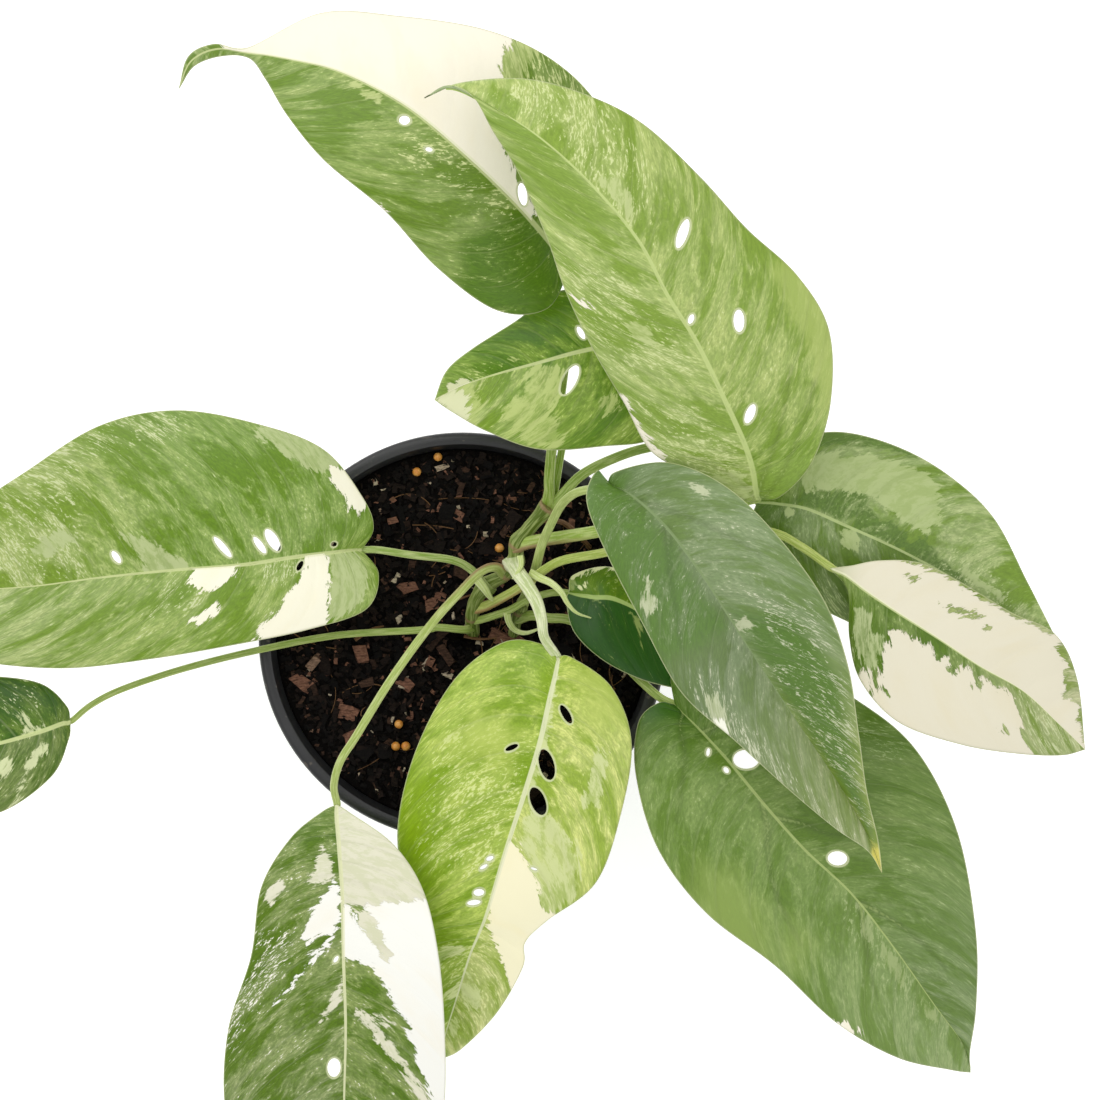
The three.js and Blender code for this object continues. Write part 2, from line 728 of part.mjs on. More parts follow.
function potSolid() {
  const collarFoot = POT_HEIGHT - COLLAR_HEIGHT;
  const profile = [
    [0, 0],
    [BASE_RADIUS - RIM_ROUND, 0],
    [BASE_RADIUS, RIM_ROUND],
    [insideRadius(collarFoot) + WALL, collarFoot - 1],
    [RIM_RADIUS - 1.2, collarFoot],
    [RIM_RADIUS, POT_HEIGHT - RIM_ROUND],
    [RIM_RADIUS - 0.3 * RIM_ROUND, POT_HEIGHT - 0.3 * RIM_ROUND],
    [RIM_RADIUS - RIM_ROUND, POT_HEIGHT],
    [insideRadius(POT_HEIGHT) + 1, POT_HEIGHT],
    [insideRadius(POT_HEIGHT - 1), POT_HEIGHT - 1],
    [insideRadius(FLOOR), FLOOR],
    [0, FLOOR],
  ];
  const geometry = turnedGeometry(profile, POT_SIDES);
  let solid = solidOf(geometry);
  for (let k = 0; k < DRAIN_HOLES; k += 1) {
    const angle = (k / DRAIN_HOLES) * 2 * Math.PI;
    const drain = new THREE.CylinderGeometry(DRAIN_RADIUS, DRAIN_RADIUS, 4 * FLOOR, DRAIN_SIDES);
    drain.rotateX(Math.PI / 2);
    drain.translate(DRAIN_CIRCLE * Math.cos(angle), DRAIN_CIRCLE * Math.sin(angle), FLOOR / 2);
    solid = solid.subtract(solidOf(drain));
  }
  return solid;
}

// A repeatable stream of numbers between 0 and 1.
function seededDraw(seed) {
  const multiplier = 16807;
  const modulus = 2 ** 31 - 1;
  let state = seed;
  return () => {
    state = (state * multiplier) % modulus;
    return state / modulus;
  };
}

function soilSolid(obstacles) {
  const top = POT_HEIGHT - SOIL_DEPTH_BELOW_RIM;
  const bottom = FLOOR + CLEARANCE;
  const topRadius = insideRadius(top) - CLEARANCE;
  const profile = [[0, bottom], [insideRadius(bottom) - CLEARANCE, bottom], [topRadius, top]];
  for (let ring = SOIL_RINGS - 1; ring > 0; ring -= 1) {
    profile.push([(topRadius * ring) / SOIL_RINGS, top]);
  }
  profile.push([0, top]);
  const geometry = turnedGeometry(profile, POT_SIDES);

  // Bark chips and crumbs push the surface up in soft lumps, which fade out at the wall.
  const draw = seededDraw(SOIL_SEED);
  const lumps = [];
  for (let k = 0; k < SOIL_LUMPS; k += 1) {
    const angle = 2 * Math.PI * draw();
    const distance = topRadius * Math.sqrt(draw());
    lumps.push({
      x: distance * Math.cos(angle),
      y: distance * Math.sin(angle),
      size: LUMP_SIZE.least + LUMP_SIZE.spread * draw(),
      height: LUMP_HEIGHT.least + LUMP_HEIGHT.spread * draw(),
    });
  }
  const reliefAt = (x, y) => {
    const fade = 1 - (Math.hypot(x, y) / topRadius) ** 6;
    const sum = lumps.reduce((total, lump) => {
      const far = Math.hypot(x - lump.x, y - lump.y) / lump.size;
      return total + lump.height * Math.exp(-far * far);
    }, 0);
    return Math.max(fade, 0) * sum;
  };
  const position = geometry.attributes.position;
  for (let k = 0; k < position.count; k += 1) {
    if (position.getZ(k) > top - 1) {
      position.setZ(k, top + reliefAt(position.getX(k), position.getY(k)));
    }
  }
  let solid = solidOf(geometry);
  obstacles.forEach((obstacle) => {
    solid = solid.subtract(obstacle);
  });
  return solid;
}

const stemSpace = woodSolid(MAIN_STEM, CLEARANCE);
const shootSpace = woodSolid(SECOND_SHOOT, CLEARANCE);
const rootSpace = woodSolid(AERIAL_ROOT, CLEARANCE);

const plant = new THREE.Group();
plant.add(namedMesh('pot', potSolid(), 'pot'));
plant.add(namedMesh('soil', soilSolid([stemSpace, shootSpace, rootSpace]), 'soil'));
plant.add(namedMesh('main_stem', woodSolid(MAIN_STEM), 'stem'));
plant.add(namedMesh('second_shoot', woodSolid(SECOND_SHOOT), 'stem'));
plant.add(namedMesh('aerial_root', woodSolid(AERIAL_ROOT).subtract(stemSpace), 'root'));
Object.entries(LEAVES).forEach(([name, leaf]) => {
  const neighbours = (leaf.clearOf ?? []).map((other) => stalkSpace(LEAVES[other]));
  const obstacles = [stemSpace, shootSpace, rootSpace, ...neighbours];
  plant.add(namedMesh(name, leafSolid(leaf, obstacles), 'leaf'));
});

export default plant;
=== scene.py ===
# %% [markdown]
# # A potted climbing aroid with cream and green leaves
#
# The real thing is a young variegated climber in a black 17 cm nursery pot, looked at from
# straight above. Twelve leaves grow on long grooved stalks from two short stems. Each leaf is one
# grown piece, so each becomes one mesh here: a thin curved blade, its midrib and its stalk. The
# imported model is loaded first, and all that follows is made in its frame, in metres.

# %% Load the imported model
import json
import math

import bmesh
import bpy
import numpy as np
from mathutils import Euler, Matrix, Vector
from mathutils.geometry import delaunay_2d_cdt

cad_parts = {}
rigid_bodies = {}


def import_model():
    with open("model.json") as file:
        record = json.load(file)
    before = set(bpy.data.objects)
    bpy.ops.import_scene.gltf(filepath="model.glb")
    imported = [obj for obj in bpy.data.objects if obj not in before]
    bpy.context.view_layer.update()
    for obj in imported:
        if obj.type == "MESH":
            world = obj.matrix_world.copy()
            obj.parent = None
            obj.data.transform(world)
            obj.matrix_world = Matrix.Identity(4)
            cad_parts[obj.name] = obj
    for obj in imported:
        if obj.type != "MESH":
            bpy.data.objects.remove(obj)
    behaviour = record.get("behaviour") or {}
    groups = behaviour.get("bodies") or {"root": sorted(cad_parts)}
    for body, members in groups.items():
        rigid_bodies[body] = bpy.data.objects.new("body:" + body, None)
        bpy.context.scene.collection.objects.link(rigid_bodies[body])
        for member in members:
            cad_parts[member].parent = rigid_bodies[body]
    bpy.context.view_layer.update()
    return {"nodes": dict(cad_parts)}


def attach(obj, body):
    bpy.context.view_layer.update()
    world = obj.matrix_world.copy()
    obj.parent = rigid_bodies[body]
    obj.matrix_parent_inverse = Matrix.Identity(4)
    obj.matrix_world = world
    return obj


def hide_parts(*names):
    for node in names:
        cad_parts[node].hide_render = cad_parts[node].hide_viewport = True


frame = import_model()
MM = 0.001
RIM = 150

# %% [markdown]
# ## Smooth lines
#
# A plant has no straight edges. Stalks, midribs and leaf margins are all smooth lines that pass
# through a few measured points, so one function that runs a line through points does for all of
# them. Heights are given above the rim of the pot, because that is where the photo's scale is
# known.


# %% Lines through points
def through(points, at):
    """Places on the smooth line through the points, at shares 0 to 1 of its spans."""
    points = np.asarray(points, float)
    last = len(points) - 1
    place = np.clip(np.asarray(at, float), 0, 1) * last
    span = np.minimum(place.astype(int), last - 1)
    t = (place - span)[:, None]
    held = np.vstack([2 * points[0] - points[1], points, 2 * points[-1] - points[-2]])
    a, b, c, d = (held[span + k] for k in range(4))
    out_of_b, into_c = (c - a) / 2, (d - b) / 2
    bend = -3 * b + 3 * c - 2 * out_of_b - into_c
    return (2 * b - 2 * c + out_of_b + into_c) * t**3 + bend * t**2 + out_of_b * t + b


def smooth(values, low, high):
    """Rises gently from 0 at low to 1 at high."""
    t = np.clip((values - low) / (high - low), 0, 1)
    return t * t * (3 - 2 * t)


def unit(vectors):
    return vectors / np.maximum(np.linalg.norm(vectors, axis=1), 1e-9)[:, None]


def run_length(points):
    return float(np.linalg.norm(np.diff(points, axis=0), axis=1).sum())


def above_rim(points):
    """Lifts points given above the rim to heights above the floor."""
    return np.asarray(points, float) + (0, 0, RIM)


quarter = through([(0, 0), (1, 0), (1, 1)], np.linspace(0, 1, 50))
print("a smooth line through three corners is", round(run_length(quarter), 3), "long")

# %% [markdown]
# ## From the photo to the frame
#
# The camera looks straight down from well above the plant. A pixel of the photo is a sight line,
# and with a height it becomes a place. Small things, such as the fertiliser prills, are placed
# this way.

# %% Camera facts
CAMERA_X, CAMERA_Y, CAMERA_Z = 36.3, 36.0, 1350.0
FOCAL_PIXELS = 2890
PHOTO_SIDE = 1100


def from_photo(px, py, height):
    """The place in mm at a height above the floor that the camera sees at a photo pixel."""
    scale = (CAMERA_Z - height) / FOCAL_PIXELS
    return CAMERA_X + (px - PHOTO_SIDE / 2) * scale, CAMERA_Y - (py - PHOTO_SIDE / 2) * scale


print("one pixel at the rim is", round((CAMERA_Z - RIM) / FOCAL_PIXELS, 3), "mm")

# %% [markdown]
# ## From points to pieces
#
# Every piece starts as plain points in millimetres. Modifiers may thicken it or grow it, and are
# then turned into plain mesh. Parts that grew together, such as a blade and its stalk, are
# joined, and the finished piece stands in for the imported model's node of the same place.


# %% Meshes and pieces
def new_object(name, mesh, *materials):
    piece = bpy.data.objects.new(name, mesh)
    bpy.context.collection.objects.link(piece)
    for material in materials:
        mesh.materials.append(material)
    return piece


def new_mesh(name, points_mm, faces=(), edges=()):
    mesh = bpy.data.meshes.new(name)
    mesh.from_pydata((np.asarray(points_mm, float) * MM).tolist(), edges, faces)
    return mesh


def mesh_from(name, held):
    """A new mesh from a shape held in bmesh."""
    mesh = bpy.data.meshes.new(name)
    held.to_mesh(mesh)
    held.free()
    return mesh


def store(mesh, name, values):
    """Keeps one number or one triple per vertex on the mesh, for the materials to read."""
    values = np.asarray(values, np.float32)
    kind, field = ("FLOAT", "value") if values.ndim == 1 else ("FLOAT_VECTOR", "vector")
    mesh.attributes.new(name, kind, "POINT").data.foreach_set(field, values.ravel())


def settle(piece):
    """Turns a piece's modifiers into plain mesh and takes them off."""
    graph = bpy.context.evaluated_depsgraph_get()
    graph.update()
    mesh = bpy.data.meshes.new_from_object(piece.evaluated_get(graph))
    mesh.name = piece.name
    piece.modifiers.clear()
    piece.data = mesh
    return piece


def join(first, *others):
    """Joins separate grown parts into one piece, named after the first."""
    for piece in bpy.context.selected_objects:
        piece.select_set(False)
    for piece in (first, *others):
        piece.select_set(True)
    bpy.context.view_layer.objects.active = first
    bpy.ops.object.join()
    return first


def triangles(piece):
    return sum(len(face.vertices) - 2 for face in piece.data.polygons)


def stand_in(piece, node):
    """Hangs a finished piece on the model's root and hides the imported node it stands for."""
    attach(piece, "root")
    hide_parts(node)
    print(node, triangles(piece), "triangles")


print("nodes to stand in for:", len(frame["nodes"]))

# %% [markdown]
# ## The leaves as measured
#
# Each leaf is written as a stalk, a base, a tip and a row of ribs: left margin, midrib and right
# margin, in millimetres from the pot's axis. `rise` lifts or drops the margins against the
# midrib, `arch` crowns each half between midrib and margin, and `wave` is the height and number
# of the waves along the margin.

# %% Leaf measurements
LEAVES = {}
LEAVES["leaf_back_left"] = dict(
    stalk_radius=2.2, base=(44, 144, 97), tip=(-107, 214, 84),
    rise=dict(left=(-.15, -.1), right=(.02, .05)), arch=.05, wave=(1.2, 3),
    stalk=[(35, 52, 29), (36, 59, 36), (36, 65, 42), (37, 76, 52), (39, 89, 61), (41, 101, 68),
        (43, 118, 74), (44, 133, 79), (44, 139, 84)],
    ribs=[
        ((35, 128), (39, 149, 101), (60, 155)), ((16, 127), (33, 156, 108), (67, 176)),
        ((-6, 142), (22, 167, 120), (55, 201)), ((-25, 162), (4, 183, 131), (37, 217)),
        ((-47, 180), (-17, 200, 133), (12, 228)), ((-61, 197), (-41, 213, 129), (-21, 234)),
        ((-70, 212), (-61, 219, 122), (-49, 236)), ((-77, 221), (-77, 223, 113), (-77, 225)),
        ((-89, 223), (-90, 226, 104), (-91, 228)), ((-100, 221), (-101, 223, 94), (-102, 225)),
    ],
)
LEAVES["leaf_back_right"] = dict(
    stalk_radius=2.8, base=(116, 55, 92), tip=(-9, 199, 158),
    rise=dict(left=(-.15, -.1), right=(.05, -.3)), arch=.06, wave=(1.2, 3),
    stalk=[(22, 38, 21), (27, 39, 25), (33, 40, 29), (40, 41, 37), (53, 43, 52), (75, 47, 68),
        (98, 52, 82), (111, 54, 89)],
    ribs=[
        ((111, 55), (115, 58, 96), (125, 57)), ((93, 64), (113, 67, 104), (136, 70)),
        ((75, 73), (109, 77, 113), (142, 92)), ((64, 91), (101, 92, 127), (140, 118)),
        ((52, 110), (90, 112, 142), (127, 137)), ((42, 130), (79, 128, 153), (108, 153)),
        ((35, 149), (68, 147, 163), (91, 170)), ((25, 171), (51, 166, 171), (70, 188)),
        ((16, 185), (33, 182, 174), (50, 198)), ((9, 197), (16, 193, 173), (28, 204)),
        ((0, 202), (1, 201, 168), (5, 203)),
    ],
)
LEAVES["leaf_small_back"] = dict(
    stalk_radius=1.6, base=(77, 118, 82), tip=(-9, 95, 64),
    rise=dict(left=(-.05, -.1), right=(.02, -.15)), arch=.05, wave=(.8, 2),
    stalk=[(36, 52, 27), (38, 59, 31), (39, 64, 36), (41, 76, 45), (44, 88, 52), (52, 100, 60),
        (63, 112, 69), (72, 117, 78)],
    ribs=[
        ((82, 100), (71, 117, 84), (73, 131)), ((77, 80), (60, 115, 86), (56, 137)),
        ((56, 76), (46, 112, 87), (37, 135)), ((32, 75), (31, 108, 85), (24, 125)),
        ((12, 82), (15, 104, 80), (6, 114)), ((-2, 90), (2, 100, 73), (-4, 106)),
    ],
)
LEAVES["leaf_middle"] = dict(
    stalk_radius=2, base=(58, 61, 100), tip=(171, -95, 28),
    rise=dict(left=(.25, -.3), right=(.35, .3)), arch=.05, wave=(1, 2),
    stalk=[(25, 14, 7), (26, 17, 13), (30, 27, 25), (33, 38, 40), (37, 47, 53), (41, 54, 68),
        (46, 58, 84), (52, 60, 95)],
    ribs=[
        ((54, 66), (60, 60, 101), (62, 66)), ((50, 55), (68, 56, 104), (81, 69)),
        ((57, 36), (81, 44, 104), (101, 61)), ((71, 9), (94, 27, 98), (120, 44)),
        ((87, -19), (106, 9, 88), (140, 18)), ((108, -38), (120, -12, 76), (151, -8)),
        ((131, -59), (135, -34, 64), (157, -36)), ((150, -75), (151, -57, 51), (162, -60)),
        ((164, -85), (164, -79, 38), (168, -80)),
    ],
)
LEAVES["leaf_right_back"] = dict(
    stalk_radius=2.1, base=(117, 55, 74), tip=(239, -4, 58),
    rise=dict(left=(-.05, -.15), right=(-.15, -.2)), arch=.05, wave=(.8, 2),
    stalk=[(35, 52, 29), (41, 58, 36), (49, 66, 46), (61, 72, 57), (74, 76, 65), (91, 78, 70),
        (106, 71, 73), (114, 61, 74)],
    ribs=[
        ((120, 67), (124, 54, 76), (115, 46)), ((130, 78), (136, 52, 78), (121, 32)),
        ((148, 82), (150, 46, 78), (134, 18)), ((170, 77), (168, 38, 77), (157, 6)),
        ((191, 66), (186, 29, 74), (179, -3)), ((210, 49), (204, 19, 69), (199, -8)),
        ((224, 24), (221, 9, 63), (220, -9)), ((234, 5), (232, 2, 60), (232, -6)),
    ],
)
LEAVES["leaf_right_front"] = dict(
    stalk_radius=2, base=(144, 29, 88), tip=(248, -43, 56),
    rise=dict(left=(-.05, -.05), right=(-.35, -.2)), arch=.04, wave=(.8, 2),
    stalk=[(5, 12, 4), (10, 13, 8), (16, 16, 16), (26, 22, 27), (34, 28, 34), (42, 32, 41),
        (58, 35, 53), (78, 40, 65), (99, 44, 75), (121, 43, 83), (133, 37, 86)],
    ribs=[
        ((152, 30), (150, 26, 90), (151, 20)), ((163, 32), (158, 20, 90), (152, 2)),
        ((179, 31), (170, 12, 88), (157, -15)), ((196, 23), (186, 2, 84), (172, -31)),
        ((215, 12), (203, -9, 78), (197, -40)), ((234, 3), (221, -19, 70), (220, -44)),
        ((244, -15), (236, -32, 62), (238, -45)),
    ],
)
LEAVES["leaf_small_dark"] = dict(
    stalk_radius=1.7, base=(44, 19, 30), tip=(93, -21, 19),
    rise=dict(left=(-.2, -.2), right=(.05, .05)), arch=.05, wave=(.6, 2),
    stalk=[(4, 7, -1), (7, 7, 2), (19, 11, 12), (26, 15, 18), (34, 18, 24), (40, 19, 28)],
    ribs=[
        ((44, 20), (48, 18, 31), (43, 15)), ((46, 26), (55, 17, 32), (46, 3)),
        ((61, 29), (63, 16, 32), (57, -8)), ((79, 20), (75, 9, 29), (72, -16)),
        ((90, -1), (86, -6, 24), (86, -20)),
    ],
)
LEAVES["leaf_front_right"] = dict(
    stalk_radius=2.1, base=(87, -27, 28), tip=(215, -186, -28),
    rise=dict(left=(-.02, -.1), right=(.05, -.1)), arch=.05, wave=(1, 3),
    stalk=[(23, 8, 2), (29, 9, 8), (36, 8, 11), (45, 7, 14), (57, -1, 18), (73, -17, 23),
        (81, -24, 26)],
    ribs=[
        ((86, -13), (91, -31, 29), (80, -26)), ((98, -5), (98, -38, 30), (72, -34)),
        ((127, -7), (109, -50, 31), (71, -55)), ((161, -25), (123, -67, 29), (80, -85)),
        ((186, -46), (140, -86, 23), (100, -112)), ((204, -80), (160, -105, 14), (129, -135)),
        ((213, -122), (179, -129, 3), (155, -160)), ((215, -155), (197, -154, -11), (182, -177)),
        ((214, -176), (211, -173, -22), (206, -184)),
    ],
)
LEAVES["leaf_front"] = dict(
    stalk_radius=2.4, sheath=.35, base=(39, -7, 45), tip=(-10, -181, -32),
    rise=dict(left=(0, -.2), right=(-.2, -.25)), arch=.06, wave=(1, 3),
    stalk=[(21, 31, 18), (22, 29, 26), (24, 26, 33), (27, 22, 39), (31, 15, 45), (33, 8, 48),
        (34, 1, 48)],
    ribs=[
        ((45, -7), (39, -11, 45), (34, -2)), ((61, -19), (36, -24, 45), (18, -1)),
        ((69, -41), (32, -42, 42), (-2, -16)), ((65, -70), (26, -62, 37), (-18, -45)),
        ((55, -99), (18, -87, 28), (-26, -78)), ((35, -116), (11, -111, 17), (-23, -108)),
        ((26, -126), (7, -122, 10), (-20, -120)), ((25, -137), (3, -132, 4), (-17, -132)),
        ((14, -158), (-3, -152, -10), (-13, -155)), ((-1, -175), (-8, -169, -22), (-12, -171)),
    ],
)
LEAVES["leaf_front_left"] = dict(
    stalk_radius=1.9, base=(-50, -67, 30), tip=(-51, -294, -72),
    rise=dict(left=(.12, .1), right=(0, -.1)), arch=.05, wave=(1, 3),
    stalk=[(18, 26, 15), (14, 29, 22), (8, 27, 28), (0, 19, 36), (-9, 9, 42), (-19, -4, 46),
        (-30, -20, 46), (-41, -38, 43), (-48, -49, 39), (-51, -59, 34)],
    ribs=[
        ((-45, -70), (-50, -72, 30), (-56, -70)), ((-27, -83), (-49, -86, 29), (-69, -81)),
        ((-15, -102), (-48, -105, 26), (-81, -101)), ((-9, -129), (-48, -132, 19), (-86, -130)),
        ((-7, -161), (-48, -162, 7), (-97, -163)), ((-8, -198), (-50, -197, -12), (-100, -200)),
        ((-15, -234), (-51, -233, -34), (-92, -238)), ((-31, -268), (-51, -266, -56), (-73, -271)),
    ],
)
LEAVES["leaf_left"] = dict(
    stalk_radius=1.8, base=(-40, 36, 30), tip=(-261, 16, -10),
    rise=dict(left=(.05, -.15), right=(.15, .05)), arch=.05, wave=(1.2, 3),
    stalk=[(12, 19, 10), (10, 21, 15), (4, 28, 18), (-4, 32, 22), (-20, 34, 28), (-33, 36, 30)],
    ribs=[
        ((-33, 26), (-44, 36, 31), (-35, 45)), ((-38, 12), (-52, 35, 34), (-39, 57)),
        ((-61, 4), (-68, 33, 37), (-54, 76)), ((-90, -2), (-88, 30, 38), (-79, 86)),
        ((-125, -8), (-114, 28, 36), (-113, 92)), ((-162, -12), (-144, 25, 31), (-145, 86)),
        ((-201, -9), (-176, 21, 22), (-178, 67)), ((-230, -2), (-211, 19, 10), (-210, 48)),
    ],
)
LEAVES["leaf_small_left"] = dict(
    stalk_radius=1.6, base=(-165, -36, -14), tip=(-276, -62, -40),
    rise=dict(left=(0, -.1), right=(.05, -.1)), arch=.05, wave=(.8, 2),
    stalk=[(4, 4, -4), (1, 3, 2), (-10, 4, 6), (-17, 3, 8), (-51, 1, 13), (-83, -5, 12),
        (-115, -13, 5), (-142, -22, -4), (-156, -29, -10)],
    ribs=[
        ((-166, -44), (-169, -37, -14), (-167, -29)), ((-173, -59), (-177, -40, -14), (-178, -20)),
        ((-194, -74), (-194, -45, -17), (-200, -17)), ((-219, -79), (-215, -50, -22), (-226, -17)),
        ((-242, -77), (-238, -55, -28), (-249, -30)), ((-262, -70), (-258, -58, -34), (-265, -46)),
    ],
)
print(len(LEAVES), "leaves with", sum(len(facts["ribs"]) for facts in LEAVES.values()), "ribs")

# %% [markdown]
# ## Windows
#
# As it ages, this plant opens small windows beside the midribs of its leaves. Each is an ellipse:
# its middle from above, its length, its width and its turn in degrees.

# %% Windows in the leaves
HOLES = {
    "leaf_back_left": [(-17.4, 194.6, 4, 3.4, 0), (26, 169, 8, 3.4, 100),
        (-8.4, 183.9, 2.6, 1.5, 170)],
    "leaf_back_right": [(84, 150, 11, 3.8, 70), (105.4, 120, 8, 4.2, 95), (111, 87, 7.5, 3.6, 70),
        (87.7, 120.2, 3.6, 2.2, 70)],
    "leaf_small_back": [(44, 101.5, 12.3, 5, 63), (48.2, 119.6, 5.4, 2.3, 120)],
    "leaf_front_right": [(115.6, -48.6, 10.5, 7.7, 0), (153.6, -89.8, 8.2, 6.1, 170),
        (100.2, -45.7, 3.2, 1.6, 80), (107.5, -53, 2.8, 2, 130)],
    "leaf_front": [(42.7, -29.6, 8.4, 3, 120), (35, -50, 12.8, 6, 105), (31.5, -65, 12, 6, 110),
        (21, -43.2, 5.6, 2, 25), (11.9, -89.1, 3.3, 2, 30), (9.4, -92.7, 3.7, 1.6, 35),
        (7.3, -103.7, 4.5, 3.3, 10), (5.2, -108.1, 5.7, 2.5, 10), (29.8, -93.2, 2.8, 1.2, 160)],
    "leaf_front_left": [(-53.5, -179, 9, 5.4, 85), (-51.1, -131.1, 3.3, 1.6, 60)],
    "leaf_left": [(-95.1, 37.2, 10.5, 2.8, 130), (-80.2, 38, 8, 2.8, 125), (-75, 40, 10, 4.4, 120),
        (-138.6, 33.2, 5.7, 2.8, 125), (-64.3, 29.6, 4.4, 2, 60), (-50.8, 38.4, 2.4, 2, 0)],
}
print(sum(len(holes) for holes in HOLES.values()), "windows")

# %% [markdown]
# ## The variegation as read off the photo
#
# Variegation follows sectors of the growing tip: a patch may stop dead at the midrib, and
# elsewhere it frays out in streaks along the side veins. So the patches are written per half of a
# leaf as rough outlines, and the material frays their edges. Each corner is in percent, first of
# the way along the leaf, then of the way out to the margin. Corners beyond the margin or across
# the midrib make a patch run right up to it.

# %% Patches of cream, pale green, lime and deep green
PATCHES = {}
PATCHES["leaf_back_left", "left"] = dict(
    cream=[[(37.5, 105), (37.2, 98.5), (35, 98), (34.5, 105)]],
    pale=[[(52, 8), (50, 15), (48, 12), (49, 4)]],
    flecks=[[(41, 2), (42, 25), (41, 48), (37, 45), (33, 30), (28, 30), (25, 12), (28, 2)]],
    deep=[[(0, -20), (0, 120), (22, 120), (28, 60), (24, -20)]],
)
PATCHES["leaf_back_left", "right"] = dict(
    cream=[[(80, -30), (80, 110), (42.5, 110), (41, 80), (38.5, 55), (36, 40), (33, 25), (29, 15),
        (22, 6), (20, -30)]],
    pale=[
        [(34.5, 16), (33.5, 24), (30.5, 22), (30, 10), (32, 8)],
        [(44, 110), (42, 80), (39.5, 55), (37, 40), (34.5, 40), (35.5, 55), (37.5, 80),
            (38.5, 110)],
    ],
    flecks=[[(15, 10), (20, 90), (42, 110), (38, 50), (28, 15)]],
    deep=[[(0, -20), (0, 120), (14, 120), (16, 20)]],
)
PATCHES["leaf_back_right", "left"] = dict(
    cream=[
        [(49.5, 97), (49, 86), (48, 80), (47.5, 86), (48.5, 95)],
        [(35, 105), (34, 96), (24, 90), (19, 105)],
    ],
    pale=[
        [(45, 60), (46, 45), (44, 35), (42, 40), (42, 55)], [(8, 20), (9, 95), (17, 90), (16, 20)],
    ],
    flecks=[
        [(34, 90), (33, 35), (26, 15), (10, 10), (8, 105), (20, 105)],
        [(55, 95), (54, 30), (44, 15), (37, 15), (38, 95)],
    ],
    deep=[[(60, 10), (60, 80), (80, 80), (82, 10)]],
)
PATCHES["leaf_back_right", "right"] = dict(
    pale=[[(66, 10), (65.5, 30), (62, 25), (61, 8)]],
    lime=[[(45, 105), (44, 85), (38, 75), (30, 80), (24, 90), (24, 105)]],
    flecks=[[(86, 25), (82, 100), (72, 100), (66, 75), (60, 35), (60, 4), (68, 2), (76, 15)]],
    deep=[[(0, -20), (0, 120), (19, 120), (17, 40), (13, -20)]],
)
PATCHES["leaf_small_back", "left"] = dict(
    cream=[[(99, -10), (97, 90), (85, 105), (78, 105), (80, 50), (88, 10)]],
    pale=[
        [(60, 5), (62, 35), (68, 55), (66, 75), (60, 95), (52, 95), (50, 80), (54, 55), (49, 40),
            (48, 15), (52, 5)],
        [(80, 0), (99, -10), (97, 90), (85, 105), (76, 105), (74, 60), (79, 30)],
        [(40, 50), (40, 70), (36, 65), (35, 50)],
    ],
)
PATCHES["leaf_small_back", "right"] = dict(
    cream=[[(97, -20), (90, 50), (84, 25), (80, 5)]],
    pale=[[(66, 25), (64, 33), (62, 28), (62, 20)]],
    flecks=[[(70, 5), (70, 30), (80, 25), (80, 5)]],
    deep=[[(40, 50), (40, 100), (52, 100), (52, 50)]],
)
PATCHES["leaf_middle", "left"] = dict(
    cream=[[(56, 94), (57.5, 90), (60, 100), (61, 105), (57.5, 105)]],
    pale=[
        [(35.5, 68), (36.5, 60), (37.5, 70), (39, 68), (40.5, 83), (38.5, 88)],
        [(53, 80), (55, 70), (57.5, 85), (60, 100), (58, 105), (55, 95)],
    ],
    lime=[[(93, -30), (91.5, 120), (105, 120), (105, -30)]],
    flecks=[[(50, 70), (55, 60), (62, 75), (75, 75), (85, 80), (85, 105), (60, 105), (52, 105)]],
    deep=[[(5, 10), (20, 110), (45, 110), (50, 10)]],
)
PATCHES["leaf_middle", "right"] = dict(
    pale=[[(27, 70), (27.5, 80), (30, 80), (29.5, 70)], [(50, 2), (50, 15), (52, 15), (52, 2)]],
    lime=[[(93, -30), (91.5, 120), (105, 120), (105, -30)]],
    flecks=[
        [(47, 40), (52, 90), (60, 80), (58, 50), (52, 30)],
        [(58, 15), (60, 95), (88, 95), (90, 25)],
    ],
    deep=[
        [(48, 5), (52, 60), (62, 85), (88, 80), (90, 5)], [(2, -10), (2, 70), (14, 60), (16, -10)],
    ],
)
PATCHES["leaf_right_back", "left"] = dict(
    pale=[
        [(22, 45), (27, 75), (35, 78), (45, 85), (52, 90), (55, 75), (56, 45), (52, 30), (46, 30),
            (42, 40), (36, 38), (28, 35), (23, 25)],
        [(62, 10), (62, 20), (72, 18), (72, 10)],
    ],
    flecks=[[(57, 0), (60, 20), (70, 35), (75, 30), (80, 10), (75, 0)]],
    deep=[
        [(17, 5), (22, 25), (30, 30), (37, 45), (40, 42), (38, 15), (33, 4)],
        [(35, 1), (38, 30), (42, 22), (45, 26), (49, 15), (53, 24), (56, 12), (62, 10), (64, 1)],
        [(25, 82), (25, 110), (50, 110), (50, 95), (35, 86)],
    ],
)
PATCHES["leaf_right_back", "right"] = dict(
    pale=[
        [(33.5, 5), (36, 25), (38.5, 22), (38, 8), (36, 2)],
        [(17, 10), (17.5, 20), (19.5, 20), (20, 10)],
    ],
    flecks=[[(33, 75), (33, 110), (42, 110), (42, 75)]],
    deep=[[(2, -20), (2, 110), (13, 110), (14, -20)]],
)
